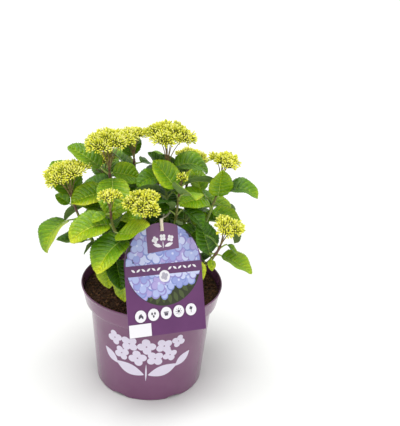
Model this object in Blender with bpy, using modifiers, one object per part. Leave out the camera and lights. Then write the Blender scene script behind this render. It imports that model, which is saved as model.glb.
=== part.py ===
"""Potted mophead hydrangea in bud: nursery pot, peat, hanging label, and a shrub of canes, leafy shoots and
unopened flower heads. Metres, +Z up; the origin is the middle of the pot's flat underside, and the label is
on the -Y side."""

import math
import random
from collections import namedtuple

import bmesh
import bpy
from mathutils import Matrix, Vector
from mathutils.bvhtree import BVHTree

MM = 0.001
GAP = 0.3 * MM  # air between pieces that touch

# Pot, a five-litre container
POT_HEIGHT = 176 * MM
RIM_RADIUS = 115 * MM
RIM_FOOT_RADIUS = 108 * MM  # lower edge of the rim band
RIM_BAND = 31 * MM
BODY_RADIUS = 100 * MM  # just under the rim band
BASE_RADIUS = 88 * MM
WALL = 1.6 * MM
PLATE_RADIUS = 70 * MM  # the flat middle of the underside
SKIRT = 2.6 * MM  # width of the ring that the pot's edge stands on
CHANNEL_DEPTH = 5.5 * MM  # groove between the middle and the skirt
ARCH_WIDTH = 26 * MM  # drainage arches in the skirt
ARCH_HEIGHT = 4.5 * MM
ARCHES = 6
FIRST_ARCH = math.radians(-62)
POT_STEPS = 36

# Peat
SOIL_TOP = 164 * MM
SOIL_DIP = 3 * MM
SOIL_FLAT = 24 * MM  # level patch under the stem

# Label: a card with a round top, tied to a stem and leaning on the rim
CARD_WIDTH = 130 * MM
CARD_SIDE = 104 * MM  # straight part of its sides
CARD_THICKNESS = 0.8 * MM
CARD_FOOT = (28 * MM, -128 * MM, 156 * MM)  # middle of the lower edge, before it meets the rim
CARD_YAW = math.radians(28)
CARD_LEAN = math.radians(-26)
CARD_SPIN = math.radians(6.5)
HOLE_BELOW_TOP = 11 * MM
HOLE_RADIUS = 3 * MM
TIE_RADIUS = 0.9 * MM

# Stem and canes
STUMP_HEIGHT = 34 * MM
STUMP_RADIUS = 11 * MM
FLARE_RADIUS = 17 * MM
CANE_FOOT_RADIUS = 4.0 * MM
CANE_TIP_RADIUS = 3.4 * MM
FORK_DEPTH = 6 * MM  # how far below a cane's cut tip its two shoots start
FORK_SPREAD = math.radians(58)
SHOOT_FOOT_RADIUS = 2.9 * MM
SHOOT_TIP_RADIUS = 1.9 * MM

# Leaves
LEAF_THICKNESS = 1.0 * MM
LEAF_WIDTH = 0.76  # of its length
LEAF_STATIONS = 4
PETIOLE = 0.26  # of the blade's length
PETIOLE_RADIUS = 1.5 * MM
SHORTEST_PETIOLE = 12  # mm
LEAF_FOLD = math.radians(18)  # how far each half rises from the midrib
FACING = math.radians(34)
CLEARANCE = 0.7 * MM  # kept round each blade
SEED = 7

# Flower heads
BUD_CLUSTER = 0.21  # radius of a bud cluster, of the head's width
RAY_LENGTH = 0.56
DOME_HEIGHT = 0.24  # of the head's width
RAY_RADIUS = 1.1 * MM

Cane = namedtuple("Cane", "foot tip")
Shoot = namedtuple("Shoot", "cane tip bloom lean turn pairs")
Leaf = namedtuple("Leaf", "base heading lift droop length width fold roll")

# Each cane: the height above the peat where it leaves the stem, and its cut tip (mm)
CANES = {
    "left": Cane(12, (-46, -2, 214)),
    "front_left": Cane(24, (-34, -42, 206)),
    "front": Cane(12, (6, -36, 214)),
    "front_right": Cane(24, (42, -28, 196)),
    "right": Cane(12, (48, 6, 218)),
    "back_right": Cane(24, (36, 44, 212)),
    "back": Cane(34, (4, 18, 232)),
    "back_left": Cane(24, (-34, 42, 212)),
}

# Each shoot: its cane, the middle of its flower head or leafy tip (mm), the head's width (mm), how far the
# top leans out, the heading of its first leaf (degrees), and for each pair of leaves how far below the top
# it sits, the blade's length (mm) and how steeply it rises (degrees)
SHOOTS = {
    "top": Shoot("back", (20, 28, 409), 88, 6, 0, ((4, 64, 25), (18, 60, 10), (46, 78, 5), (84, 84, 0))),
    "upper_left": Shoot("left", (-74, 0, 406), 78, 4, 12,
        ((3, 60, 20), (12, 78, 0), (30, 66, 10), (62, 82, 0), (92, 80, 0))),
    "upper_back": Shoot("back", (-38, 62, 397), 58, 10, 60, ((8, 56, 30), (34, 70, 15), (70, 80, 5))),
    "right": Shoot("right", (106, 18, 376), 56, 8, -80, ((20, 66, 40), (46, 74, 10), (84, 80, 0))),
    "left": Shoot("left", (-137, -14, 358), 74, 16, 120, ((6, 50, 45), (30, 78, 5), (72, 66, 0))),
    "front_left": Shoot("front_left", (-66, -70, 350), 38, 4, 80,
        ((3, 34, 10), (36, 80, 10), (48, 86, 0), (78, 70, 0))),
    "front": Shoot("front", (-17, -76, 344), 60, 26, 85, ((8, 66, 20), (34, 64, 5), (64, 70, 0))),
    "right_low": Shoot("front_right", (112, -45, 293), 55, 16, -60,
        ((4, 34, 10), (17, 62, 20), (28, 26, 0), (48, 70, 5))),
    "centre_right": Shoot("front", (40, -20, 366), 19, 6, 195,
        ((8, 60, 60), (26, 62, 40), (52, 80, 20), (84, 80, 5))),
    "front_left_low": Shoot("front_left", (-66, -56, 254), 0, 20, 200, ((0, 66, 10), (22, 76, 0))),
    "front_right_low": Shoot("front_right", (62, -40, 256), 0, 16, -60, ((0, 70, 10), (24, 80, 0))),
    "right_back": Shoot("right", (80, 50, 309), 0, 10, 20, ((0, 62, 30), (26, 76, 10), (58, 84, 0))),
    "back_right": Shoot("back_right", (58, 100, 350), 58, 16, 30, ((8, 66, 25), (34, 80, 10), (72, 88, 0))),
    "back": Shoot("back_right", (4, 128, 306), 44, 24, 60, ((6, 60, 20), (34, 80, 5), (68, 84, 0))),
    "back_left": Shoot("back_left", (-88, 78, 346), 60, 20, 100, ((8, 66, 25), (34, 70, 10), (70, 86, 0))),
    "back_left_low": Shoot("back_left", (-48, 112, 270), 0, 26, 150, ((0, 66, 15), (30, 84, 0))),
}

# Leaves with a bearing of their own, by shoot, pair and twin: the heading, rise (degrees) and length (mm)
# of the stalk, the heading, rise, droop and roll of the blade (degrees), and its length (mm)
POSED = {
    ("front_left", 0, 0): ((205, 0, 8), (205, -5, 40, -20), 24),
    ("front_left", 0, 1): ((30, 20, 8), (30, 10, 30, 20), 26),
    ("front_left", 1, 0): ((204, 55, 16), (204, 14, 66, -20), 68),
    ("front_left", 1, 1): ((-70, 15, 15), (-34, 6, -44, 20), 66),
    ("front_left", 2, 0): ((-50, 10, 16), (230, 0, 66, -5), 72),
    ("front_left", 3, 1): ((150, 10, 12), (150, 0, 30, 0), 50),
    ("upper_left", 0, 0): ((20, 45, 6), (25, 9, 16, 40), 52),
    ("upper_left", 0, 1): ((155, 18, 20), (172, 26, 20, -15), 60),
    ("upper_left", 1, 0): ((-75, 34, 14), (-82, -28, 42, 0), 68),
    ("upper_left", 1, 1): ((90, 0, 14), (80, -5, 40, 10), 50),
    ("upper_left", 2, 0): ((203, 6, 14), (202, -2, 16, -25), 58),
    ("upper_left", 3, 0): ((165, -10, 16), (175, 10, 12, -15), 48),
    ("left", 0, 0): ((195, 22, 8), (168, 45, 15, -40), 26),
    ("left", 0, 1): ((108, 35, 16), (136, 60, 36, -20), 66),
    ("left", 1, 0): ((215, 2, 24), (226, 4, 104, 10), 66),
    ("left", 2, 0): ((185, -10, 8), (180, 2, 8, -5), 48),
    ("left", 2, 1): ((-50, -35, 6), (232, -24, 14, 60), 26),
    ("front", 0, 1): ((150, 10, 8), (150, 15, 50, -20), 38),
    ("front", 0, 0): ((100, 42, 22), (34, 50, 124, 0), 64),
    ("centre_right", 0, 0): ((150, 0, 8), (157, 49, 10, -30), 55),
    ("centre_right", 0, 1): ((54, 42, 12), (40, 80, 8, -30), 26),
    ("centre_right", 2, 0): ((0, 40, 15), (-30, -10, 50, 0), 46),
    ("right", 0, 0): ((-80, 10, 13), (100, 88, -16, 0), 52),
    ("right", 0, 1): ((-8, 33, 20), (-7, 42, 90, 12), 54),
    ("right", 1, 0): ((-60, -20, 4), (-15, -8, 18, 10), 50),
    ("right", 1, 1): ((150, 55, 18), (222, 14, 40, -28), 60),
    ("right", 2, 0): ((50, 20, 6), (112, 62, 20, 0), 44),
    ("right_back", 0, 0): ((130, 20, 8), (128, 70, 50, -10), 44),
    ("right_back", 0, 1): ((-40, -20, 10), (-8, -15, 30, 10), 46),
    ("right_low", 0, 0): ((10, 25, 14), (-15, -24, 20, 0), 22),
    ("right_low", 1, 0): ((-20, 0, 10), (-16, -2, 26, 6), 56),
    ("right_low", 1, 1): ((160, -5, 10), (146, 60, 12, -25), 54),
    ("right_low", 2, 0): ((-110, 0, 6), (-80, -40, 16, 0), 18),
    ("right_low", 2, 1): ((120, 20, 8), (130, 30, 30, 0), 30),
    ("right_low", 3, 1): ((100, 30, 10), (110, 20, 30, 0), 50),
    ("top", 0, 0): ((27, 26, 18), (11, 30, 90, 20), 60),
    ("top", 0, 1): ((185, 50, 9), (150, 48, 20, 0), 36),
    ("top", 1, 0): ((204, 46, 15), (212, 10, 50, -25), 44),
    ("upper_back", 0, 0): ((135, 50, 14), (82, 72, 38, 0), 44),
    ("upper_back", 0, 1): ((-20, 20, 12), (60, -10, 20, 20), 30),
    ("front_left_low", 0, 0): ((231, -42, 14), (-69, -50, 20, 40), 44),
    ("front_left_low", 0, 1): ((-54, -27, 18), (-76, -44, 24, 0), 52),
    ("front_left_low", 1, 0): ((-49, -13, 13), (-69, -50, 20, 75), 54),
    ("front_right_low", 0, 0): ((-60, -60, 18), (-70, -50, 14, 0), 36),
}

TIED_SHOOT = "top"
TIE_DROP = 70 * MM


def srgb(hex_colour):
    """Linear colour of an sRGB hex value."""
    channels = (int(hex_colour[i : i + 2], 16) / 255 for i in (1, 3, 5))
    return tuple(c / 12.92 if c <= 0.04045 else ((c + 0.055) / 1.055) ** 2.4 for c in channels)


def material(name, colour, roughness):
    made = bpy.data.materials.new(name)
    made.use_nodes = True
    shader = made.node_tree.nodes["Principled BSDF"]
    shader.inputs["Base Color"].default_value = (*srgb(colour), 1)
    shader.inputs["Roughness"].default_value = roughness
    return made


def collection(name):
    made = bpy.data.collections.new(name)
    bpy.context.scene.collection.children.link(made)
    return made


def put(name, data, into, finish=None):
    """A new object for a mesh or curve, in a collection, with its material."""
    if finish and not data.materials:
        data.materials.append(finish)
    made = bpy.data.objects.new(name, data)
    into.objects.link(made)
    return made


def mesh_from(bm, name):
    mesh = bpy.data.meshes.new(name)
    bm.to_mesh(mesh)
    bm.free()
    return mesh


def evaluated_mesh(made):
    """The mesh of an object with its modifiers applied."""
    bpy.context.view_layer.update()
    graph = bpy.context.evaluated_depsgraph_get()
    return bpy.data.meshes.new_from_object(made.evaluated_get(graph), depsgraph=graph)


def turned(name, profile, into, finish):
    """A profile of (radius, height) points turned round Z, down its outer side first."""
    bm = bmesh.new()
    verts = [bm.verts.new((radius, 0, height)) for radius, height in profile]
    for first, second in zip(verts, verts[1:]):
        bm.edges.new((first, second))
    if profile[0][0] > 0:
        bm.edges.new((verts[-1], verts[0]))
    made = put(name, mesh_from(bm, name), into, finish)
    screw = made.modifiers.new("Turn", "SCREW")
    screw.steps = screw.render_steps = POT_STEPS
    screw.use_merge_vertices = True
    screw.merge_threshold = 0.00005
    screw.use_smooth_shade = True
    return made


def tube_mesh(name, path, radii, resolution=1, cyclic=False):
    """A tapering tube with closed ends along a path, as a mesh."""
    curve = bpy.data.curves.new(name, "CURVE")
    curve.dimensions = "3D"
    curve.bevel_depth = 1
    curve.bevel_resolution = resolution
    curve.use_fill_caps = not cyclic
    spline = curve.splines.new("POLY")
    spline.points.add(len(path) - 1)
    for point, place, radius in zip(spline.points, path, radii):
        point.co = (*place, 1)
        point.radius = radius
    spline.use_cyclic_u = cyclic
    made = bpy.data.objects.new(name, curve)
    bpy.context.scene.collection.objects.link(made)
    mesh = evaluated_mesh(made)
    bpy.data.objects.remove(made)
    bpy.data.curves.remove(curve)
    bm = bmesh.new()
    bm.from_mesh(mesh)
    bmesh.ops.remove_doubles(bm, verts=bm.verts, dist=0.00001)
    bmesh.ops.recalc_face_normals(bm, faces=bm.faces)
    bm.to_mesh(mesh)
    bm.free()
    return mesh


def rod_mesh(name, start, end, start_radius, end_radius):
    """A straight three-sided twig between two points."""
    along = end - start
    bm = bmesh.new()
    bmesh.ops.create_cone(
        bm,
        cap_ends=True,
        segments=3,
        radius1=start_radius,
        radius2=end_radius,
        depth=along.length,
        matrix=Matrix.Translation((start + end) / 2) @ along.to_track_quat("Z", "Y").to_matrix().to_4x4(),
    )
    return mesh_from(bm, name)


def blade_mesh(leaf):
    """A leaf blade as a thin closed shell: a grid bent into the blade's shape, its ends drawn to points."""
    bm = bmesh.new()
    bmesh.ops.create_grid(bm, x_segments=LEAF_STATIONS, y_segments=2, size=1)
    for vert in bm.verts:
        vert.co = blade_point(leaf, (vert.co.x + 1) / 2, vert.co.y)
    bmesh.ops.remove_doubles(bm, verts=bm.verts, dist=0.00001)
    bmesh.ops.solidify(bm, geom=bm.faces, thickness=LEAF_THICKNESS)
    bmesh.ops.triangulate(bm, faces=bm.faces)
    bmesh.ops.recalc_face_normals(bm, faces=bm.faces)
    return mesh_from(bm, "blade")


def bezier(a, b, c, d, t):
    """A point of a cubic curve."""
    u = 1 - t
    return u**3 * a + 3 * u * u * t * b + 3 * u * t * t * c + t**3 * d


def heading_vector(angle):
    return Vector((math.cos(angle), math.sin(angle), 0))


def combine(made, operation, meshes):
    """Joins closed meshes to an object, or cuts them away from it, in one Boolean that is applied."""
    pieces = collection("pieces")
    for mesh in meshes:
        put("piece", mesh, pieces)
    change = made.modifiers.new("Combine", "BOOLEAN")
    change.operation = operation
    change.operand_type = "COLLECTION"
    change.collection = pieces
    change.solver = "EXACT"
    finish = made.data.materials[0]
    made.data = evaluated_mesh(made)
    made.modifiers.clear()
    made.data.materials.clear()
    made.data.materials.append(finish)
    for piece in list(pieces.objects):
        bpy.data.objects.remove(piece)
    bpy.data.collections.remove(pieces)
    return made


def joined(name, meshes, into, finish, clear_of=()):
    """One closed solid of overlapping meshes, cut clear of what it grows from."""
    made = put(name, meshes[0], into, finish)
    if meshes[1:]:
        combine(made, "UNION", meshes[1:])
    if clear_of:
        combine(made, "DIFFERENCE", clear_of)
    return made


# Pot, peat, label


def body_radius(height):
    """Outer radius of the pot's wall under the rim band."""
    return BASE_RADIUS + (BODY_RADIUS - BASE_RADIUS) * height / (POT_HEIGHT - RIM_BAND)


LIP = 0.8 * MM  # rounding of the pot's edges
BAND_FOOT = POT_HEIGHT - RIM_BAND
FLOOR = CHANNEL_DEPTH + WALL  # inner floor over the groove


def make_pot(parts):
    """The pot's profile runs up its inside from the middle of the floor, then down its outside."""
    profile = [
        (0, WALL),
        (PLATE_RADIUS - WALL, WALL),
        (PLATE_RADIUS - WALL + LIP, FLOOR),
        (body_radius(FLOOR) - WALL, FLOOR),
        (BODY_RADIUS - WALL, BAND_FOOT + WALL),
        (RIM_FOOT_RADIUS - WALL - LIP, BAND_FOOT + WALL),
        (RIM_RADIUS - WALL - LIP, POT_HEIGHT - LIP),
        (RIM_RADIUS - WALL, POT_HEIGHT),
        (RIM_RADIUS - LIP, POT_HEIGHT),
        (RIM_RADIUS, POT_HEIGHT - LIP),
        (RIM_FOOT_RADIUS, BAND_FOOT + LIP),
        (RIM_FOOT_RADIUS - LIP, BAND_FOOT),
        (BODY_RADIUS, BAND_FOOT),
        (body_radius(2 * LIP), 2 * LIP),
        (BASE_RADIUS - LIP, 0),
        (BASE_RADIUS - SKIRT, 0),
        (BASE_RADIUS - SKIRT, CHANNEL_DEPTH),
        (PLATE_RADIUS + LIP, CHANNEL_DEPTH),
        (PLATE_RADIUS, 0),
        (0, 0),
    ]
    pot = turned("pot", profile, parts, material("moulded_pot_plastic", "#7f5f80", 0.45))
    arches = []
    for index in range(ARCHES):
        angle = FIRST_ARCH + index * 2 * math.pi / ARCHES
        place = (
            Matrix.Translation(heading_vector(angle) * (BASE_RADIUS - SKIRT / 2))
            @ Matrix.Rotation(angle, 4, "Z")
            @ Matrix.Rotation(math.pi / 2, 4, "Y")
            @ Matrix.Diagonal((ARCH_HEIGHT, ARCH_WIDTH / 2, 1, 1))
        )
        bm = bmesh.new()
        bmesh.ops.create_cone(
            bm, cap_ends=True, segments=12, radius1=1, radius2=1, depth=2.4 * SKIRT, matrix=place
        )
        arches.append(mesh_from(bm, "arch"))
    return combine(pot, "DIFFERENCE", arches)


def make_soil(parts):
    """The peat fills the pot a hair clear of its wall, level under the stem and lower at the wall."""
    top_radius = RIM_FOOT_RADIUS - WALL - LIP + (SOIL_TOP - SOIL_DIP - BAND_FOOT - WALL) * (
        RIM_RADIUS - RIM_FOOT_RADIUS
    ) / (RIM_BAND - WALL - LIP)
    profile = [
        (0, SOIL_TOP),
        (SOIL_FLAT, SOIL_TOP),
        (0.7 * RIM_RADIUS, SOIL_TOP - 0.6 * SOIL_DIP),
        (top_radius - GAP, SOIL_TOP - SOIL_DIP),
        (RIM_FOOT_RADIUS - WALL - LIP - GAP, BAND_FOOT + WALL + GAP),
        (BODY_RADIUS - WALL - GAP, BAND_FOOT + WALL + GAP),
        (body_radius(FLOOR) - WALL - GAP, FLOOR + GAP),
        (PLATE_RADIUS - WALL + LIP, FLOOR + GAP),
        (PLATE_RADIUS - WALL - GAP, WALL + GAP),
        (0, WALL + GAP),
    ]
    return turned("soil", profile, parts, material("damp_peat", "#33241b", 0.95))


def card_place():
    """Where the label stands: turned, leaning back, and slid along its own face until it meets the rim."""
    turn = Matrix.Rotation(CARD_YAW, 3, "Z") @ Matrix.Rotation(CARD_LEAN, 3, "X")
    turn = turn @ Matrix.Rotation(CARD_SPIN, 3, "Y")
    back = turn @ Vector((0, 1, 0))
    across = math.hypot(back.x, back.y)
    rim = ((RIM_RADIUS - LIP, POT_HEIGHT), (RIM_RADIUS, POT_HEIGHT - LIP))
    reach = min(height * back.z - radius * across for radius, height in rim)
    foot = Vector(CARD_FOOT)
    foot += back * (reach - GAP - CARD_THICKNESS / 2 - foot.dot(back))
    return Matrix.Translation(foot) @ turn.to_4x4()


def card_hole():
    """The middle of the label's hole."""
    return card_place() @ Vector((0, 0, CARD_SIDE + CARD_WIDTH / 2 - HOLE_BELOW_TOP))


def make_card(parts):
    """A flat outline with a round top and a hole, in the label's own plane."""
    curve = bpy.data.curves.new("label_card", "CURVE")
    curve.dimensions = "2D"
    curve.fill_mode = "BOTH"
    curve.extrude = CARD_THICKNESS / 2
    half = CARD_WIDTH / 2
    arch_steps, hole_steps = 24, 12
    outline = [(-half, 0), (half, 0)]
    for step in range(arch_steps + 1):
        angle = math.pi * step / arch_steps
        outline.append((half * math.cos(angle), CARD_SIDE + half * math.sin(angle)))
    hole = []
    for step in range(hole_steps):
        angle = 2 * math.pi * step / hole_steps
        height = CARD_SIDE + half - HOLE_BELOW_TOP + HOLE_RADIUS * math.sin(angle)
        hole.append((HOLE_RADIUS * math.cos(angle), height))
    for points in (outline, hole):
        spline = curve.splines.new("POLY")
        spline.points.add(len(points) - 1)
        for point, (x, y) in zip(spline.points, points):
            point.co = (x, y, 0, 1)
        spline.use_cyclic_u = True
    card = put("label_card", curve, parts, material("printed_card", "#6f4478", 0.4))
    card.matrix_world = card_place() @ Matrix.Rotation(math.pi / 2, 4, "X")
    return card


def tie_path(stem):
    """A closed loop of string: through the label's hole, over its top edge, and round a stem behind it."""
    hole = card_hole()
    turn = card_place().to_3x3()
    up, back = turn @ Vector((0, 0, 1)), turn @ Vector((0, 1, 0))
    run = stem - hole
    side = run.cross(Vector((0, 0, 1))).normalized()
    ahead = run.normalized()
    clear = SHOOT_FOOT_RADIUS + TIE_RADIUS + 2 * GAP
    over = up * (HOLE_BELOW_TOP + 2.5 * MM)
    anchors = [
        hole - back * 2.2 * MM,
        hole - back * 2.4 * MM + up * 0.6 * HOLE_BELOW_TOP,
        hole + over - back * 0.6 * MM,
        hole + over * 0.4 + run * 0.5 + side * 2.6 * MM + Vector((0, 0, 2 * MM)),
        stem + side * clear - ahead * 1.5 * MM,
        stem + ahead * clear * 0.72 + side * clear * 0.72,
        stem + ahead * clear * 0.72 - side * clear * 0.72,
        stem - side * clear - ahead * 1.5 * MM,
        hole + run * 0.5 - side * 2.6 * MM - Vector((0, 0, 2 * MM)),
        hole + back * 2.6 * MM,
    ]
    return closed_curve(anchors, 2)


def closed_curve(anchors, steps):
    """Points along a smooth closed curve through the anchors."""
    count = len(anchors)
    points = []
    for index in range(count):
        before, start, end, after = (anchors[(index + shift) % count] for shift in (-1, 0, 1, 2))
        for step in range(steps):
            first, second = start + (end - before) / 6, end - (after - start) / 6
            points.append(bezier(start, first, second, end, step / steps))
    return points


# Limbs


def stump_limb(extra=0):
    """Path and radii of the short main stem, from its flat cut at the peat."""
    foot = SOIL_TOP + GAP
    flare = FLARE_RADIUS - STUMP_RADIUS
    steps = (
        (0, STUMP_RADIUS + flare),
        (0.18, STUMP_RADIUS + flare / 2),
        (0.42, STUMP_RADIUS),
        (1, 0.9 * STUMP_RADIUS),
    )
    path = [Vector((0, 0, foot + rise * STUMP_HEIGHT + extra * rise)) for rise, _ in steps]
    return path, [radius + extra for _, radius in steps]


def cane_limb(cane, extra=0):
    """Path and radii of a cane: it leaves the stem and bends upward to its cut tip."""
    tip = Vector(cane.tip) * MM
    out = Vector((tip.x, tip.y, 0))
    foot = Vector((0, 0, SOIL_TOP + min(cane.foot * MM, STUMP_HEIGHT - 6 * MM)))
    rise = tip.z - foot.z
    if cane.foot * MM < STUMP_HEIGHT:
        bend = foot + out * 0.6 + Vector((0, 0, 0.15 * rise))
    else:
        bend = foot + out * 0.25 + Vector((0, 0, 0.6 * rise))
    steps = 6
    first, second = foot.lerp(bend, 2 / 3), tip.lerp(bend, 2 / 3)
    path = [bezier(foot, first, second, tip, i / steps) for i in range(steps + 1)]
    path[-1] = path[-1] + (path[-1] - path[-2]).normalized() * extra
    return path, taper(CANE_FOOT_RADIUS + extra, CANE_TIP_RADIUS + extra, steps)


def shoot_axis(shoot):
    """The way a shoot's top points."""
    out = heading_vector(math.atan2(shoot.tip[1], shoot.tip[0]))
    lean = math.radians(shoot.lean)
    return out * math.sin(lean) + Vector((0, 0, math.cos(lean)))


def shoot_top(shoot):
    """Where a shoot's stem ends: under its flower head, where the rays spread."""
    return (Vector(shoot.tip) - shoot_axis(shoot) * RAY_LENGTH * shoot.bloom) * MM


def shoot_limb(name):
    """Path and radii of a shoot's stem, from inside its cane to its top. A cane's two shoots leave it on
    opposite sides."""
    shoot = SHOOTS[name]
    cane_points, _ = cane_limb(CANES[shoot.cane])
    along = (cane_points[-1] - cane_points[-2]).normalized()
    twin = next(other for key, other in SHOOTS.items() if other.cane == shoot.cane and key != name)
    apart = shoot_top(shoot) - shoot_top(twin)
    side = (apart - along * apart.dot(along)).normalized()
    start = cane_points[-1] - along * FORK_DEPTH
    top = shoot_top(shoot)
    reach = (top - start).length
    first = start + (along * math.cos(FORK_SPREAD) + side * math.sin(FORK_SPREAD)) * reach * 0.28
    second = top - shoot_axis(shoot) * reach * 0.36
    steps = 9
    path = [bezier(start, first, second, top, i / steps) for i in range(steps + 1)]
    return path, taper(SHOOT_FOOT_RADIUS, SHOOT_TIP_RADIUS, steps)


def taper(start, end, steps):
    """Radii that run evenly from one end of a limb to the other."""
    return [start + (end - start) * i / steps for i in range(steps + 1)]


def below_top(path, distance):
    """The point of a path that lies so far before its end, measured along it."""
    for end, start in zip(path[::-1], path[-2::-1]):
        step = (end - start).length
        if distance <= step:
            return end.lerp(start, distance / step)
        distance -= step
    return path[0]


# Flower heads


def bud_places(bloom):
    """Middles of a head's bud clusters, spread over a dome by the golden angle, and the clusters' radius."""
    count = 3 + round(bloom / 20)
    size = BUD_CLUSTER * bloom
    places = []
    for index in range(count):
        radius = (bloom / 2 - size) * math.sqrt((index + 0.5) / (count - 0.5))
        angle = index * math.radians(137.508)
        height = DOME_HEIGHT * bloom * (1 - (2 * radius / bloom) ** 2)
        places.append(Vector((radius * math.cos(angle), radius * math.sin(angle), height)) * MM)
    return places, size * MM


def head_meshes(shoot):
    """The pieces of a flower head: a hub, the rays that fan out from it, and the buds they carry."""
    axis = shoot_axis(shoot)
    top = shoot_top(shoot)
    turn = axis.to_track_quat("Z", "Y").to_matrix().to_4x4()
    middle = Matrix.Translation(Vector(shoot.tip) * MM) @ turn
    places, size = bud_places(shoot.bloom)
    hub = [top + axis * GAP, top + axis * 4 * MM]
    meshes = [tube_mesh("hub", hub, [SHOOT_TIP_RADIUS, 1.3 * SHOOT_TIP_RADIUS])]
    for index, place in enumerate(places):
        centre = middle @ (place - Vector((0, 0, DOME_HEIGHT * shoot.bloom / 2 * MM)))
        bm = bmesh.new()
        bmesh.ops.create_icosphere(
            bm,
            subdivisions=1,
            radius=1,
            matrix=Matrix.Translation(centre)
            @ turn
            @ Matrix.Rotation(index * 1.3, 4, "Z")
            @ Matrix.Diagonal((size, size, 0.8 * size, 1)),
        )
        meshes.append(mesh_from(bm, "buds"))
        if index % 2 == 0:
            meshes.append(rod_mesh("ray", top + axis * 2 * MM, centre, RAY_RADIUS, 0.8 * RAY_RADIUS))
    return meshes


# Leaves


def blade_half_width(along):
    """Half width of a blade along its midrib, 1 at the widest: round at the base, drawn out at the tip."""
    along = min(max(along, 0), 1)
    return along**0.55 * (1 - along) ** 0.78 / 0.406


def blade_frame(leaf, along):
    """A place on a blade's midrib, with the blade's sideways and upward directions there."""
    pitch = leaf.lift - leaf.droop * along
    ahead = leaf.length / leaf.droop * (math.sin(leaf.lift) - math.sin(pitch))
    above = leaf.length / leaf.droop * (math.cos(pitch) - math.cos(leaf.lift))
    forward = heading_vector(leaf.heading)
    left = Vector((-forward.y, forward.x, 0))
    up = Vector((0, 0, math.cos(pitch))) - forward * math.sin(pitch)
    side = left * math.cos(leaf.roll) + up * math.sin(leaf.roll)
    up = up * math.cos(leaf.roll) - left * math.sin(leaf.roll)
    return leaf.base + forward * ahead + Vector((0, 0, above)), side, up


def blade_point(leaf, along, across, above=0):
    """A point of a blade: along runs from its stalk (0) to its tip (1), across from edge to edge (-1 to
    1)."""
    middle, side, up = blade_frame(leaf, along)
    off = leaf.width / 2 * blade_half_width(along)
    return (
        middle
        + side * off * across * math.cos(leaf.fold)
        + up * (off * abs(across) * math.sin(leaf.fold) + above)
    )


def blade_skin(leaf):
    """Points and faces of a blade with the room kept round it. Its bent quads are split both ways, so that a
    blade split either way stays inside."""
    points, faces = [], []
    for station in range(LEAF_STATIONS + 1):
        along = station / LEAF_STATIONS
        if station in (0, LEAF_STATIONS):
            along += 0.04 * (along - 0.5)
        for across in (-1.05, 0, 1.05):
            for shift in (-1, 1):
                points.append(blade_point(leaf, along, across, shift * (CLEARANCE + LEAF_THICKNESS / 2)))
    for first in range(0, 6 * LEAF_STATIONS, 6):
        for a, b in ((0, 2), (2, 4), (1, 3), (3, 5), (0, 1), (4, 5)):
            quad = (first + a, first + b, first + b + 6, first + a + 6)
            faces += [quad[:3], quad[1:], (quad[0], quad[2], quad[3]), (quad[0], quad[1], quad[3])]
    return points, faces


def stalk_skin(leaf, node):
    """Points and faces of a leaf's stalk with the room kept round it."""
    stalk = leaf.base - node
    side = stalk.cross(Vector((0, 0, 1))).normalized() * (PETIOLE_RADIUS + CLEARANCE)
    rise = Vector((0, 0, PETIOLE_RADIUS + CLEARANCE))
    points = []
    for place in (node, leaf.base):
        points += [place + side - rise, place - side - rise, place - side + rise, place + side + rise]
    walls = [(a, b, b + 4, a + 4) for a, b in ((0, 1), (1, 2), (2, 3), (3, 0))]
    return points, [(0, 1, 2, 3), (4, 5, 6, 7), *walls]


class Room:
    """The room that is already taken, as trees of faces with their boxes and whose they are."""

    def __init__(self):
        self.taken = []

    def tree(self, points, faces):
        low = [min(point[i] for point in points) for i in range(3)]
        high = [max(point[i] for point in points) for i in range(3)]
        return low, high, BVHTree.FromPolygons(points, faces)

    def take(self, points, faces, whose=""):
        self.taken.append((*self.tree(points, faces), whose))

    def take_mesh(self, mesh, whose=""):
        self.take([v.co.copy() for v in mesh.vertices], [tuple(p.vertices) for p in mesh.polygons], whose)

    def is_free(self, points, faces, but=()):
        """Whether a skin meets nothing that is taken, leaving out what it may touch."""
        low, high, tree = self.tree(points, faces)
        for other_low, other_high, other, whose in self.taken:
            if whose in but or any(low[i] > other_high[i] or high[i] < other_low[i] for i in range(3)):
                continue
            if tree.overlap(other):
                return False
        return True


def facing_roll(node, heading):
    """The roll that leans a blade's face out from the middle of the plant."""
    out = math.atan2(node.y, node.x)
    return -FACING * math.sin(out - heading)


def leaf_tries(node, name, pair, twin):
    """Ways to hold a leaf, from the one it wants to ones turned, raised or smaller."""
    chance = random.Random(f"{SEED} {name} {pair} {twin}")
    shoot = SHOOTS[name]
    _, length, lift = shoot.pairs[pair]
    if (name, pair, twin) in POSED:
        (stalk_heading, stalk_rise, reach), (heading, lift, droop, roll), length = POSED[name, pair, twin]
    else:
        heading = stalk_heading = shoot.turn + 90 * pair + 180 * twin + chance.uniform(-10, 10)
        lift += chance.uniform(-8, 8)
        stalk_rise = 28 + 0.5 * lift
        droop = 45 + 12 * pair + chance.uniform(-12, 12)
        roll = math.degrees(facing_roll(node, math.radians(heading))) + chance.uniform(-8, 8)
        length *= 1 + chance.uniform(-0.07, 0.07)
        reach = max(PETIOLE * length, SHORTEST_PETIOLE)
    for share in (1, 0.86, 0.72, 0.6):
        for turn in (0, 8, -8, 18, -18, 30, -30, 44, -44):
            for raised in (0, 10, -10, 22, -22, 34):
                rise = math.radians(stalk_rise + raised / 2)
                around = heading_vector(math.radians(stalk_heading + turn))
                stalk = around * math.cos(rise) + Vector((0, 0, math.sin(rise)))
                yield Leaf(
                    base=node + stalk * reach * share * MM,
                    heading=math.radians(heading + turn),
                    lift=math.radians(lift + raised),
                    droop=math.radians(droop),
                    length=length * share * MM,
                    width=length * share * MM * LEAF_WIDTH,
                    fold=LEAF_FOLD,
                    roll=math.radians(roll),
                )


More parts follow.
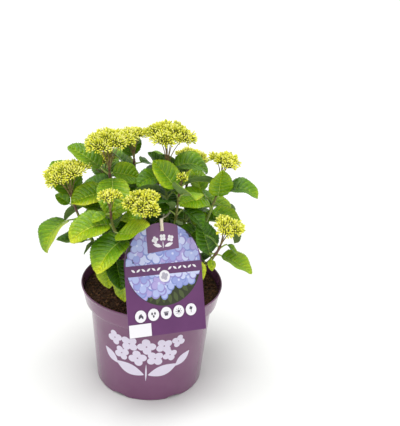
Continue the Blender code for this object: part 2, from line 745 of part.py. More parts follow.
def grow_leaves(room):
    """The leaves of every shoot, in crossed pairs down its stem. The posed ones take their places first, and
    a leaf that finds no room is left out."""
    wanted = []
    for name, shoot in SHOOTS.items():
        wanted += [(name, pair, twin) for pair in range(len(shoot.pairs)) for twin in (0, 1)]
    wanted.sort(key=lambda key: key not in POSED)
    grown = {name: [] for name in SHOOTS}
    for name, pair, twin in wanted:
        node = below_top(shoot_limb(name)[0], SHOOTS[name].pairs[pair][0] * MM)
        for leaf in leaf_tries(node, name, pair, twin):
            blade, stalk = blade_skin(leaf), stalk_skin(leaf, node)
            if room.is_free(*blade) and room.is_free(*stalk, (name, f"{name} {pair}")):
                room.take(*blade)
                room.take(*stalk, f"{name} {pair}")
                grown[name].append((node, leaf))
                break
    return grown


def main():
    for old in list(bpy.data.objects):
        bpy.data.objects.remove(old)
    parts = collection("potted_hydrangea")
    bark = material("pale_bark", "#7a6248", 0.8)
    leaf_green = material("hydrangea_leaf", "#5f8a2c", 0.5)
    bud_green = material("green_buds", "#c9cf3f", 0.6)
    room = Room()

    pot = make_pot(parts)
    make_soil(parts)
    card = make_card(parts)
    for made in (pot, card):
        mesh = evaluated_mesh(made)
        mesh.transform(made.matrix_world)
        room.take_mesh(mesh)

    stump = put("stem_base", tube_mesh("stem_base", *stump_limb(), resolution=2), parts, bark)
    room.take_mesh(stump.data)
    for name, cane in CANES.items():
        mesh = tube_mesh("cane", *cane_limb(cane))
        room.take_mesh(mesh)
        socket = tube_mesh("stump_cutter", *stump_limb(GAP), resolution=2)
        joined(f"cane_{name}", [mesh], parts, bark, [socket])

    stems = {name: tube_mesh("shoot", *shoot_limb(name)) for name in SHOOTS}
    for name, mesh in stems.items():
        room.take_mesh(mesh, name)
    for name, shoot in SHOOTS.items():
        if shoot.bloom:
            meshes = head_meshes(shoot)
            for mesh in meshes[1:]:
                room.take_mesh(mesh)
            joined(f"flower_head_{name}", meshes, parts, bud_green)

    tied = below_top(shoot_limb(TIED_SHOOT)[0], TIE_DROP)
    loop = tie_path(tied)
    string = material("cotton_string", "#e6dcc4", 0.9)
    mesh = tube_mesh("label_tie", loop, [TIE_RADIUS] * len(loop), resolution=0, cyclic=True)
    tie = put("label_tie", mesh, parts, string)
    room.take_mesh(tie.data)

    grown = grow_leaves(room)
    for name, shoot in SHOOTS.items():
        meshes = [stems[name]]
        for node, leaf in grown[name]:
            meshes.append(blade_mesh(leaf))
            meshes.append(rod_mesh("stalk", node, blade_point(leaf, 0.12, 0), PETIOLE_RADIUS, 0.8 * MM))
        socket = tube_mesh("cane_cutter", *cane_limb(CANES[shoot.cane], GAP))
        joined(f"foliage_{name}", meshes, parts, leaf_green, [socket])


if __name__ == "__main__":
    main()
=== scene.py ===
"""Looks of the potted mophead hydrangea in bud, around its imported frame. Metres, +Z up; the label is on
the -Y side."""

import math
import random
from collections import namedtuple

import bmesh
import bpy
import numpy as np
from mathutils import Matrix, Vector, noise
from mathutils.bvhtree import BVHTree


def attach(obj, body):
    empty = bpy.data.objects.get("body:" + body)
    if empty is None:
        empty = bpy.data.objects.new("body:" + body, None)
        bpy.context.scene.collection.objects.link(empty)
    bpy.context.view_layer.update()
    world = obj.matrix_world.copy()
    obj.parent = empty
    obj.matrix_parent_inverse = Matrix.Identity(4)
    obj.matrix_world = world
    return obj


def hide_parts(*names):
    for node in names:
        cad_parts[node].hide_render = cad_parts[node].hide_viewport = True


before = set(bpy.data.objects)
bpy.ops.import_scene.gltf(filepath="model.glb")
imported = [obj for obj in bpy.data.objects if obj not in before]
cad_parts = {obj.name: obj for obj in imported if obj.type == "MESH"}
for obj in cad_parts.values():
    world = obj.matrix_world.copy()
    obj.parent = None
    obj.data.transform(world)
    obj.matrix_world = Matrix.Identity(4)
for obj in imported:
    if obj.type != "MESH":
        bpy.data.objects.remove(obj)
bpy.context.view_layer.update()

# The frame's sizes, in metres

MM = 0.001
GAP = 0.3 * MM  # air between pieces that touch

# Pot, a five-litre container
POT_HEIGHT = 176 * MM
RIM_RADIUS = 115 * MM
RIM_FOOT_RADIUS = 108 * MM  # lower edge of the rim band
RIM_BAND = 31 * MM
BODY_RADIUS = 100 * MM  # just under the rim band
BASE_RADIUS = 88 * MM
WALL = 1.6 * MM
LIP = 0.8 * MM  # rounding of the pot's edges
PLATE_RADIUS = 70 * MM  # the flat middle of the underside
SKIRT = 2.6 * MM  # width of the ring that the pot's edge stands on
CHANNEL_DEPTH = 5.5 * MM  # groove between the middle and the skirt
ARCH_WIDTH = 26 * MM  # drainage arches in the skirt
ARCH_HEIGHT = 4.5 * MM
ARCHES = 6
FIRST_ARCH = math.radians(-62)

# Peat
SOIL_TOP = 164 * MM
SOIL_DIP = 3 * MM

# Label: a card with a round top, tied to a stem and leaning on the rim
CARD_WIDTH = 130 * MM
CARD_SIDE = 104 * MM  # straight part of its sides
CARD_THICKNESS = 0.8 * MM
CARD_FOOT = (28 * MM, -128 * MM, 156 * MM)  # middle of the lower edge, before it meets the rim
CARD_YAW = math.radians(28)
CARD_LEAN = math.radians(-26)
CARD_SPIN = math.radians(6.5)
HOLE_BELOW_TOP = 11 * MM
HOLE_RADIUS = 3 * MM
TIE_RADIUS = 0.9 * MM

# Stem and canes
STUMP_HEIGHT = 34 * MM
STUMP_RADIUS = 11 * MM
FLARE_RADIUS = 17 * MM
CANE_FOOT_RADIUS = 4.0 * MM
CANE_TIP_RADIUS = 3.4 * MM
FORK_DEPTH = 6 * MM  # how far below a cane's cut tip its two shoots start
FORK_SPREAD = math.radians(58)
SHOOT_FOOT_RADIUS = 2.9 * MM
SHOOT_TIP_RADIUS = 1.9 * MM

# Leaves
LEAF_THICKNESS = 1.0 * MM
LEAF_WIDTH = 0.76  # of its length
LEAF_STATIONS = 4
PETIOLE = 0.26  # of the blade's length
PETIOLE_RADIUS = 1.5 * MM
SHORTEST_PETIOLE = 12  # mm
LEAF_FOLD = math.radians(18)  # how far each half rises from the midrib
FACING = math.radians(34)
CLEARANCE = 0.7 * MM  # kept round each blade
SEED = 7

# Flower heads
BUD_CLUSTER = 0.21  # radius of a bud cluster, of the head's width
RAY_LENGTH = 0.56  # of the head's width
DOME_HEIGHT = 0.24  # of the head's width
RAY_RADIUS = 1.1 * MM

# Finer sizes of what shows, in metres

# Print, whose layers stand off what they are printed on by one lift each
PRINT_LIFT = 0.12 * MM
INK_THICKNESS = 0.06 * MM
POT_PRINT_HEADING = math.radians(-93)

# Print on the label, from the middle of its lower edge
PICTURE_MIDDLE = 106 * MM
PICTURE_RADIUS = 63 * MM
FLORET_SPACING = 16 * MM
BAND = (-64.6 * MM, 90.5 * MM, 64.6 * MM, 106.5 * MM)  # left, bottom, right and top
STICKER = (-64.4 * MM, 0.6 * MM, -28.3 * MM, 19.6 * MM)
SEAL = (-0.4 * MM, 87.5 * MM)  # middle of the disc on the band
SEAL_RADIUS = 9 * MM
SIGN_RADIUS = 9.2 * MM

# Peat
CRUMBS = 2600
CRUMB_SIZES = (0.8, 1.1, 1.5, 2.0, 2.8)  # mm

# String
PLY_TURNS = 44
BINDING_TURNS = 9
BINDING_HEIGHT = 18  # mm
BINDING_RADIUS = 1.7  # mm

# Leaves and buds
BLADE_THICKNESS = 0.5 * MM
VEIN_SPACING = 6.5 * MM
SKEW = 0.85  # how far forward the side veins sweep
PUCKER = 1.6 * MM  # rise of the blade between its veins
TOOTH = 1.7 * MM  # of the toothed edge
WAVE = 1.2 * MM  # of the leaf's edge
NARROW = 3 * MM  # half width of a blade under which its relief fades out
FULL_SIZE = 60 * MM  # length of a blade from which its relief has its full depth
VEIN_TONE = 1.25  # how many shades lighter the side veins are
MIDRIB_TONE = 1.3
BUD_RADIUS = 1.25 * MM
BUD_HALF_LENGTH = 2.6 * MM
TWIG_RADIUS = 0.4 * MM  # of the stalk of a small group of buds
PEDICEL_RADIUS = 0.45 * MM  # of a bud's own stalk
CYME_SPACING = 7.0 * MM  # between the small groups that make up a bud cluster
CYME_LIMIT = math.radians(92)  # how far from a cluster's top its groups go
GOLDEN = math.radians(137.508)  # the angle that spreads points evenly

Cane = namedtuple("Cane", "foot tip")
Shoot = namedtuple("Shoot", "cane tip bloom lean turn pairs")
Leaf = namedtuple("Leaf", "base heading lift droop length width fold roll")
Look = namedtuple("Look", "tone margin tip side")

# Each cane: the height above the peat where it leaves the stem, and its cut tip (mm)
CANES = {
    "left": Cane(12, (-46, -2, 214)),
    "front_left": Cane(24, (-34, -42, 206)),
    "front": Cane(12, (6, -36, 214)),
    "front_right": Cane(24, (42, -28, 196)),
    "right": Cane(12, (48, 6, 218)),
    "back_right": Cane(24, (36, 44, 212)),
    "back": Cane(34, (4, 18, 232)),
    "back_left": Cane(24, (-34, 42, 212)),
}

# Each shoot: its cane, the middle of its flower head or leafy tip (mm), the head's width (mm), how far the
# top leans out, the heading of its first leaf (degrees), and for each pair of leaves how far below the top
# it sits, the blade's length (mm) and how steeply it rises (degrees)
SHOOTS = {
    "top": Shoot("back", (20, 28, 409), 88, 6, 0, ((4, 64, 25), (18, 60, 10), (46, 78, 5), (84, 84, 0))),
    "upper_left": Shoot("left", (-74, 0, 406), 78, 4, 12,
        ((3, 60, 20), (12, 78, 0), (30, 66, 10), (62, 82, 0), (92, 80, 0))),
    "upper_back": Shoot("back", (-38, 62, 397), 58, 10, 60, ((8, 56, 30), (34, 70, 15), (70, 80, 5))),
    "right": Shoot("right", (106, 18, 376), 56, 8, -80, ((20, 66, 40), (46, 74, 10), (84, 80, 0))),
    "left": Shoot("left", (-137, -14, 358), 74, 16, 120, ((6, 50, 45), (30, 78, 5), (72, 66, 0))),
    "front_left": Shoot("front_left", (-66, -70, 350), 38, 4, 80,
        ((3, 34, 10), (36, 80, 10), (48, 86, 0), (78, 70, 0))),
    "front": Shoot("front", (-17, -76, 344), 60, 26, 85, ((8, 66, 20), (34, 64, 5), (64, 70, 0))),
    "right_low": Shoot("front_right", (112, -45, 293), 55, 16, -60,
        ((4, 34, 10), (17, 62, 20), (28, 26, 0), (48, 70, 5))),
    "centre_right": Shoot("front", (40, -20, 366), 19, 6, 195,
        ((8, 60, 60), (26, 62, 40), (52, 80, 20), (84, 80, 5))),
    "front_left_low": Shoot("front_left", (-66, -56, 254), 0, 20, 200, ((0, 66, 10), (22, 76, 0))),
    "front_right_low": Shoot("front_right", (62, -40, 256), 0, 16, -60, ((0, 70, 10), (24, 80, 0))),
    "right_back": Shoot("right", (80, 50, 309), 0, 10, 20, ((0, 62, 30), (26, 76, 10), (58, 84, 0))),
    "back_right": Shoot("back_right", (58, 100, 350), 58, 16, 30, ((8, 66, 25), (34, 80, 10), (72, 88, 0))),
    "back": Shoot("back_right", (4, 128, 306), 44, 24, 60, ((6, 60, 20), (34, 80, 5), (68, 84, 0))),
    "back_left": Shoot("back_left", (-88, 78, 346), 60, 20, 100, ((8, 66, 25), (34, 70, 10), (70, 86, 0))),
    "back_left_low": Shoot("back_left", (-48, 112, 270), 0, 26, 150, ((0, 66, 15), (30, 84, 0))),
}

# Leaves with a bearing of their own, by shoot, pair and twin: the heading, rise (degrees) and length (mm)
# of the stalk, the heading, rise, droop and roll of the blade (degrees), and its length (mm)
POSED = {
    ("front_left", 0, 0): ((205, 0, 8), (205, -5, 40, -20), 24),
    ("front_left", 0, 1): ((30, 20, 8), (30, 10, 30, 20), 26),
    ("front_left", 1, 0): ((204, 55, 16), (204, 14, 66, -20), 68),
    ("front_left", 1, 1): ((-70, 15, 15), (-34, 6, -44, 20), 66),
    ("front_left", 2, 0): ((-50, 10, 16), (230, 0, 66, -5), 72),
    ("front_left", 3, 1): ((150, 10, 12), (150, 0, 30, 0), 50),
    ("upper_left", 0, 0): ((20, 45, 6), (25, 9, 16, 40), 52),
    ("upper_left", 0, 1): ((155, 18, 20), (172, 26, 20, -15), 60),
    ("upper_left", 1, 0): ((-75, 34, 14), (-82, -28, 42, 0), 68),
    ("upper_left", 1, 1): ((90, 0, 14), (80, -5, 40, 10), 50),
    ("upper_left", 2, 0): ((203, 6, 14), (202, -2, 16, -25), 58),
    ("upper_left", 3, 0): ((165, -10, 16), (175, 10, 12, -15), 48),
    ("left", 0, 0): ((195, 22, 8), (168, 45, 15, -40), 26),
    ("left", 0, 1): ((108, 35, 16), (136, 60, 36, -20), 66),
    ("left", 1, 0): ((215, 2, 24), (226, 4, 104, 10), 66),
    ("left", 2, 0): ((185, -10, 8), (180, 2, 8, -5), 48),
    ("left", 2, 1): ((-50, -35, 6), (232, -24, 14, 60), 26),
    ("front", 0, 1): ((150, 10, 8), (150, 15, 50, -20), 38),
    ("front", 0, 0): ((100, 42, 22), (34, 50, 124, 0), 64),
    ("centre_right", 0, 0): ((150, 0, 8), (157, 49, 10, -30), 55),
    ("centre_right", 0, 1): ((54, 42, 12), (40, 80, 8, -30), 26),
    ("centre_right", 2, 0): ((0, 40, 15), (-30, -10, 50, 0), 46),
    ("right", 0, 0): ((-80, 10, 13), (100, 88, -16, 0), 52),
    ("right", 0, 1): ((-8, 33, 20), (-7, 42, 90, 12), 54),
    ("right", 1, 0): ((-60, -20, 4), (-15, -8, 18, 10), 50),
    ("right", 1, 1): ((150, 55, 18), (222, 14, 40, -28), 60),
    ("right", 2, 0): ((50, 20, 6), (112, 62, 20, 0), 44),
    ("right_back", 0, 0): ((130, 20, 8), (128, 70, 50, -10), 44),
    ("right_back", 0, 1): ((-40, -20, 10), (-8, -15, 30, 10), 46),
    ("right_low", 0, 0): ((10, 25, 14), (-15, -24, 20, 0), 22),
    ("right_low", 1, 0): ((-20, 0, 10), (-16, -2, 26, 6), 56),
    ("right_low", 1, 1): ((160, -5, 10), (146, 60, 12, -25), 54),
    ("right_low", 2, 0): ((-110, 0, 6), (-80, -40, 16, 0), 18),
    ("right_low", 2, 1): ((120, 20, 8), (130, 30, 30, 0), 30),
    ("right_low", 3, 1): ((100, 30, 10), (110, 20, 30, 0), 50),
    ("top", 0, 0): ((27, 26, 18), (11, 30, 90, 20), 60),
    ("top", 0, 1): ((185, 50, 9), (150, 48, 20, 0), 36),
    ("top", 1, 0): ((204, 46, 15), (212, 10, 50, -25), 44),
    ("upper_back", 0, 0): ((135, 50, 14), (82, 72, 38, 0), 44),
    ("upper_back", 0, 1): ((-20, 20, 12), (60, -10, 20, 20), 30),
    ("front_left_low", 0, 0): ((231, -42, 14), (-69, -50, 20, 40), 44),
    ("front_left_low", 0, 1): ((-54, -27, 18), (-76, -44, 24, 0), 52),
    ("front_left_low", 1, 0): ((-49, -13, 13), (-69, -50, 20, 75), 54),
    ("front_right_low", 0, 0): ((-60, -60, 18), (-70, -50, 14, 0), 36),
}

TIED_SHOOT = "top"
TIE_DROP = 70 * MM  # how far below that shoot's top the label's string goes round it

# Shades of leaf from the deepest (0) to lime (6): a leaf's own, and how much its edge, tip and one half
# gain. These tones are partly each leaf's own green and partly painted light and shade: a leaf that lies in
# shade gets a dark tone, and the lighter edge, tip and half paint the light that falls on the leaf and
# shines through it.
LOOKS = {
    ("left", 1, 0): Look(3.0, 0.6, 1.4, 1.0),
    ("front_left", 1, 0): Look(2.9, 0.5, 2.8, 0.5),
    ("front_left", 2, 0): Look(1.7, 0.9, 4.2, 0.5),
    ("front_left", 1, 1): Look(3.4, 0.8, 1.6, 0.3),
    ("upper_left", 2, 0): Look(2.8, 1.8, 0.8, 0.8),
    ("upper_left", 1, 0): Look(3.0, 0.5, 0.4, 0.2),
    ("upper_left", 0, 0): Look(2.8, 0.6, 0.4, 0.3),
    ("upper_left", 0, 1): Look(2.6, 0.6, 0.4, 0.3),
    ("upper_left", 1, 1): Look(1.8, 0.5, 0.4, 0.2),
    ("front", 0, 0): Look(0.8, 0.3, 0.4, 0.2),
    ("centre_right", 0, 0): Look(2.9, 1.1, 0.6, 0.2),
    ("centre_right", 0, 1): Look(4.2, 0.8, 0.6, 0.2),
    ("centre_right", 2, 0): Look(1.2, 0.4, 0.4, 0.2),
    ("top", 0, 0): Look(2.4, 0.4, 0.2, 0.2),
    ("top", 1, 0): Look(2.2, 0.6, 0.6, 0.2),
    ("right", 0, 0): Look(2.9, 0.8, 0.8, 0.3),
    ("right", 0, 1): Look(1.4, 0.6, 3.0, 0.2),
    ("right", 1, 0): Look(2.8, 0.8, 0.8, 0.2),
    ("right", 1, 1): Look(2.7, 0.7, 0.8, 0.2),
    ("right_low", 1, 1): Look(1.2, 0.4, 0.4, 0.1),
    ("right_low", 1, 0): Look(2.8, 0.8, 1.6, 0.2),
    ("right_back", 0, 1): Look(3.0, 0.8, 0.6, 0.2),
    ("right_back", 0, 0): Look(3.0, 0.6, 0.6, 0.2),
    ("left", 0, 1): Look(2.6, 0.6, 0.4, 0.2),
    ("front_left_low", 0, 0): Look(3.6, 1.2, 0.8, 0.2),
    ("front_left_low", 0, 1): Look(0.8, 0.4, 0.4, 0.2),
    ("front_left_low", 1, 0): Look(3.6, 1.2, 0.8, 0.2),
    ("front_right_low", 0, 0): Look(4.2, 0.8, 0.8, 0.2),
    ("upper_back", 0, 0): Look(2.0, 0.6, 0.6, 0.2),
    ("upper_back", 0, 1): Look(1.6, 0.5, 0.5, 0.2),
    ("front", 0, 1): Look(3.0, 1.0, 1.0, 0.2),
    ("right", 2, 0): Look(3.0, 0.8, 0.6, 0.2),
    ("right_low", 2, 0): Look(3.8, 0.8, 0.6, 0.2),
    ("right_low", 2, 1): Look(2.4, 0.6, 0.4, 0.2),
    ("right_low", 3, 1): Look(1.2, 0.4, 0.4, 0.2),
    ("top", 0, 1): Look(1.2, 0.5, 0.4, 0.2),
    ("front_left", 3, 1): Look(1.4, 0.4, 0.4, 0.2),
    ("left", 0, 0): Look(2.4, 0.6, 0.6, 0.2),
}
# The leaves' greens are partly their own colour and partly painted light and shade: the darkest paints a
# leaf in shade, and lime also paints light shining through a leaf.
LEAF_SHADES = (
    ("shaded_leaf", "#1e3d02"),
    ("deep_green_leaf", "#305702"),
    ("dark_green_leaf", "#467302"),
    ("mid_green_leaf", "#659004"),
    ("fresh_green_leaf", "#89a80a"),
    ("yellow_green_leaf", "#a9b818"),
    ("lime_leaf", "#cbd12c"),
)
SHADE_STEPS = 4  # finer shades from each named one to the next


# Materials


def srgb(hex_colour):
    """Linear colour of an sRGB hex value."""
    channels = (int(hex_colour[i : i + 2], 16) / 255 for i in (1, 3, 5))
    return tuple(c / 12.92 if c <= 0.04045 else ((c + 0.055) / 1.055) ** 2.4 for c in channels)


def add_node(material, kind, inputs=None, **settings):
    """A node with its own settings, and with values or other nodes' sockets at its inputs."""
    made = material.node_tree.nodes.new(kind)
    for name, value in settings.items():
        setattr(made, name, value)
    for name, value in (inputs or {}).items():
        if isinstance(value, bpy.types.NodeSocket):
            material.node_tree.links.new(value, made.inputs[name])
        else:
            made.inputs[name].default_value = value
    return made


def finish(name, roughness, **values):
    """A material with its Principled shader set."""
    made = bpy.data.materials.new(name)
    made.use_nodes = True
    shader = made.node_tree.nodes["Principled BSDF"]
    shader.inputs["Roughness"].default_value = roughness
    for socket, value in values.items():
        shader.inputs[socket.replace("_", " ")].default_value = value
    return made, shader


def plain(name, colour, roughness, **values):
    """A thin even ink or film that has no grain of its own."""
    made, shader = finish(name, roughness, **values)
    shader.inputs["Base Color"].default_value = (*srgb(colour), 1)
    return made


def speckled(name, colours, size, roughness, bump=0, bump_size=None, stretch=(1, 1, 1), **values):
    """A material mottled between two colours at a size in metres, with a bump of its own size and height."""
    made, shader = finish(name, roughness, **values)
    coords = add_node(made, "ShaderNodeTexCoord").outputs["Object"]
    place = add_node(made, "ShaderNodeMapping", {"Vector": coords, "Scale": stretch}).outputs["Vector"]
    mottle = add_node(made, "ShaderNodeTexNoise", {"Vector": place, "Scale": 1 / size, "Detail": 4})
    ramp = add_node(made, "ShaderNodeValToRGB", {"Fac": mottle.outputs["Fac"]})
    for stop, position, colour in zip(ramp.color_ramp.elements, (0.36, 0.64), colours):
        stop.position = position
        stop.color = (*srgb(colour), 1)
    made.node_tree.links.new(ramp.outputs["Color"], shader.inputs["Base Color"])
    if bump:
        fineness = {"Vector": place, "Scale": 1 / (bump_size or size), "Detail": 5}
        grain = add_node(made, "ShaderNodeTexNoise", fineness)
        relief = add_node(
            made, "ShaderNodeBump", {"Height": grain.outputs["Fac"], "Strength": 1.0, "Distance": bump}
        )
        made.node_tree.links.new(relief.outputs["Normal"], shader.inputs["Normal"])
    return made


def tinted(colour, change):
    """An sRGB hex colour made lighter or darker."""
    channels = [int(colour[i : i + 2], 16) for i in (1, 3, 5)]
    return "#" + "".join(f"{max(0, min(255, round(c * change))):02x}" for c in channels)


def mixed(first, second, share):
    """An sRGB hex colour part of the way from one to another."""
    pairs = [(int(first[i : i + 2], 16), int(second[i : i + 2], 16)) for i in (1, 3, 5)]
    return "#" + "".join(f"{round(a + (b - a) * share):02x}" for a, b in pairs)


def leaf_materials():
    """Living leaf: a waxy skin with a soft sheen, over flesh that is mottled and quilted between the finest
    veins, every 3 mm. The underside is paler and duller."""
    shades = []
    for (name, colour), (_, lighter) in zip(LEAF_SHADES, LEAF_SHADES[1:]):
        for step in range(SHADE_STEPS):
            shades.append((f"{name}_{step}", mixed(colour, lighter, step / SHADE_STEPS)))
    shades.append(LEAF_SHADES[-1])
    made = []
    for name, colour in shades:
        colours = (tinted(colour, 0.92), tinted(colour, 1.1))
        made.append(speckled(name, colours, 3 * MM, 0.33, 1 * MM, 3 * MM, IOR=1.4))
    made.append(speckled("leaf_underside", ("#71904a", "#86a058"), 9 * MM, 0.6, 0.2 * MM, 1.5 * MM, IOR=1.4))
    return made


# Shapes


def heading_vector(angle):
    """The level direction at an angle from +X."""
    return Vector((math.cos(angle), math.sin(angle), 0))


def bezier(a, b, c, d, t):
    """A point of a cubic curve."""
    u = 1 - t
    return u**3 * a + 3 * u * u * t * b + 3 * u * t * t * c + t**3 * d


def closed_curve(anchors, steps):
    """Points along a smooth closed curve through the anchors."""
    count = len(anchors)
    points = []
    for index in range(count):
        before, start, end, after = (anchors[(index + shift) % count] for shift in (-1, 0, 1, 2))
        for step in range(steps):
            first, second = start + (end - before) / 6, end - (after - start) / 6
            points.append(bezier(start, first, second, end, step / steps))
    return points


def taper(start, end, steps):
    """Radii that run evenly from one end of a limb to the other."""
    return [start + (end - start) * i / steps for i in range(steps + 1)]


def below_top(path, distance):
    """The point of a path that lies so far before its end, measured along it."""
    for end, start in zip(path[::-1], path[-2::-1]):
        step = (end - start).length
        if distance <= step:
            return end.lerp(start, distance / step)
        distance -= step
    return path[0]


def mesh_from(bm, name):
    """A mesh of a bmesh, which is freed."""
    mesh = bpy.data.meshes.new(name)
    bm.to_mesh(mesh)
    bm.free()
    return mesh


def evaluated_mesh(made):
    """The mesh of an object with its modifiers applied."""
    bpy.context.view_layer.update()
    graph = bpy.context.evaluated_depsgraph_get()
    return bpy.data.meshes.new_from_object(made.evaluated_get(graph), depsgraph=graph)


def tube_mesh(name, path, radii, resolution=1, cyclic=False):
    """A tapering tube with closed ends along a path, as a mesh."""
    curve = bpy.data.curves.new(name, "CURVE")
    curve.dimensions = "3D"
    curve.bevel_depth = 1
    curve.bevel_resolution = resolution
    curve.use_fill_caps = not cyclic
    spline = curve.splines.new("POLY")
    spline.points.add(len(path) - 1)
    for point, place, radius in zip(spline.points, path, radii):
        point.co = (*place, 1)
        point.radius = radius
    spline.use_cyclic_u = cyclic
    made = bpy.data.objects.new(name, curve)
    bpy.context.scene.collection.objects.link(made)
    mesh = evaluated_mesh(made)
    bpy.data.objects.remove(made)
    bpy.data.curves.remove(curve)
    bm = bmesh.new()
    bm.from_mesh(mesh)
    bmesh.ops.remove_doubles(bm, verts=bm.verts, dist=0.00001)
    bmesh.ops.recalc_face_normals(bm, faces=bm.faces)
    bm.to_mesh(mesh)
    bm.free()
    return mesh


def piece(name, mesh, materials, replaced=(), flat=False):
    """A finished object on the frame, from a mesh in its final place, shaded smooth unless its faces are
    flat."""
    for finish_material in materials:
        mesh.materials.append(finish_material)
    if flat:
        mesh.shade_flat()
    else:
        mesh.shade_smooth()
    made = bpy.data.objects.new(name, mesh)
    bpy.context.scene.collection.objects.link(made)
    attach(made, "root")
    if replaced:
        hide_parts(*replaced)
    return made


def joined(meshes, name):
    """One mesh of several, each keeping its faces' slots."""
    bm = bmesh.new()
    for mesh in meshes:
        bm.from_mesh(mesh)
        bpy.data.meshes.remove(mesh)
    return mesh_from(bm, name)


def repeated(name, shape, places, slots):
    """One mesh of a shape copied to many places (4x4 matrices), each copy with its slot. There are
    thousands, so their points are worked out all at once."""
    verts = np.array([v.co for v in shape.vertices])
    loops = np.array([loop.vertex_index for loop in shape.loops])
    starts = np.array([polygon.loop_start for polygon in shape.polygons])
    totals = np.array([polygon.loop_total for polygon in shape.polygons])
    count = len(places)
    matrices = np.array([[list(row) for row in place] for place in places])
    coords = np.einsum("nij,vj->nvi", matrices[:, :3, :3], verts) + matrices[:, None, :3, 3]
    step = np.arange(count)[:, None]
    mesh = bpy.data.meshes.new(name)
    mesh.vertices.add(count * len(verts))
    mesh.vertices.foreach_set("co", coords.ravel())
    mesh.loops.add(count * len(loops))
    mesh.loops.foreach_set("vertex_index", (loops + step * len(verts)).ravel())
    mesh.polygons.add(count * len(starts))
    mesh.polygons.foreach_set("loop_start", (starts + step * len(loops)).ravel())
    mesh.polygons.foreach_set("loop_total", np.tile(totals, count))
    mesh.polygons.foreach_set("material_index", np.repeat(slots, len(starts)))
    mesh.update(calc_edges=True)
    return mesh


def turned(name, profile, steps):
    """A profile of (radius, height) points spun round Z into a closed shape."""
    bm = bmesh.new()
    verts = [bm.verts.new((radius, 0, height)) for radius, height in profile]
    edges = [bm.edges.new(pair) for pair in zip(verts, verts[1:])]
    bmesh.ops.spin(
        bm,
        geom=verts + edges,
        cent=(0, 0, 0),
        axis=(0, 0, 1),
        angle=2 * math.pi,
        steps=steps,
        use_merge=True,
        use_duplicate=False,
    )
    bmesh.ops.remove_doubles(bm, verts=bm.verts, dist=0.00001)
    bmesh.ops.recalc_face_normals(bm, faces=bm.faces)
    return mesh_from(bm, name)


# Limbs


def stump_limb():
    """Path and radii of the short main stem, from its flat cut at the peat."""
    foot = SOIL_TOP + GAP
    flare = FLARE_RADIUS - STUMP_RADIUS
    steps = (
        (0, STUMP_RADIUS + flare),
        (0.18, STUMP_RADIUS + flare / 2),
        (0.42, STUMP_RADIUS),
        (1, 0.9 * STUMP_RADIUS),
    )
    path = [Vector((0, 0, foot + rise * STUMP_HEIGHT)) for rise, _ in steps]
    return path, [radius for _, radius in steps]


def cane_limb(cane):
    """Path and radii of a cane: it leaves the stem and bends upward to its cut tip."""
    tip = Vector(cane.tip) * MM
    out = Vector((tip.x, tip.y, 0))
    foot = Vector((0, 0, SOIL_TOP + min(cane.foot * MM, STUMP_HEIGHT - 6 * MM)))
    rise = tip.z - foot.z
    if cane.foot * MM < STUMP_HEIGHT:
        bend = foot + out * 0.6 + Vector((0, 0, 0.15 * rise))
    else:
        bend = foot + out * 0.25 + Vector((0, 0, 0.6 * rise))
    steps = 6
    first, second = foot.lerp(bend, 2 / 3), tip.lerp(bend, 2 / 3)
    path = [bezier(foot, first, second, tip, i / steps) for i in range(steps + 1)]
    return path, taper(CANE_FOOT_RADIUS, CANE_TIP_RADIUS, steps)


def shoot_axis(shoot):
    """The way a shoot's top points."""
    out = heading_vector(math.atan2(shoot.tip[1], shoot.tip[0]))
    lean = math.radians(shoot.lean)
    return out * math.sin(lean) + Vector((0, 0, math.cos(lean)))


def shoot_top(shoot):
    """Where a shoot's stem ends: under its flower head, where the rays spread."""
    return (Vector(shoot.tip) - shoot_axis(shoot) * RAY_LENGTH * shoot.bloom) * MM


def shoot_limb(name):
    """Path and radii of a shoot's stem, from inside its cane to its top. A cane's two shoots leave it on
    opposite sides."""
    shoot = SHOOTS[name]
    cane_points, _ = cane_limb(CANES[shoot.cane])
    along = (cane_points[-1] - cane_points[-2]).normalized()
    twin = next(other for key, other in SHOOTS.items() if other.cane == shoot.cane and key != name)
    apart = shoot_top(shoot) - shoot_top(twin)
    side = (apart - along * apart.dot(along)).normalized()
    start = cane_points[-1] - along * FORK_DEPTH
    top = shoot_top(shoot)
    reach = (top - start).length
    first = start + (along * math.cos(FORK_SPREAD) + side * math.sin(FORK_SPREAD)) * reach * 0.28
    second = top - shoot_axis(shoot) * reach * 0.36
    steps = 9
    path = [bezier(start, first, second, top, i / steps) for i in range(steps + 1)]
    return path, taper(SHOOT_FOOT_RADIUS, SHOOT_TIP_RADIUS, steps)


def bud_places(bloom):
    """Middles of a head's bud clusters, spread over a dome by the golden angle, and the clusters' radius."""
    count = 3 + round(bloom / 20)
    size = BUD_CLUSTER * bloom
    places = []
    for index in range(count):
        radius = (bloom / 2 - size) * math.sqrt((index + 0.5) / (count - 0.5))
        angle = index * GOLDEN
        height = DOME_HEIGHT * bloom * (1 - (2 * radius / bloom) ** 2)
        places.append(Vector((radius * math.cos(angle), radius * math.sin(angle), height)) * MM)
    return places, size * MM


# Growth of the leaves


def blade_half_width(along):
    """Half width of a blade along its midrib, 1 at the widest: round at the base, drawn out at the tip."""
    along = min(max(along, 0), 1)
    return along**0.55 * (1 - along) ** 0.78 / 0.406


def blade_frame(leaf, along):
    """A place on a blade's midrib, with the blade's sideways and upward directions there."""
    pitch = leaf.lift - leaf.droop * along
    ahead = leaf.length / leaf.droop * (math.sin(leaf.lift) - math.sin(pitch))
    above = leaf.length / leaf.droop * (math.cos(pitch) - math.cos(leaf.lift))
    forward = heading_vector(leaf.heading)
    left = Vector((-forward.y, forward.x, 0))
    up = Vector((0, 0, math.cos(pitch))) - forward * math.sin(pitch)
    side = left * math.cos(leaf.roll) + up * math.sin(leaf.roll)
    up = up * math.cos(leaf.roll) - left * math.sin(leaf.roll)
    return leaf.base + forward * ahead + Vector((0, 0, above)), side, up


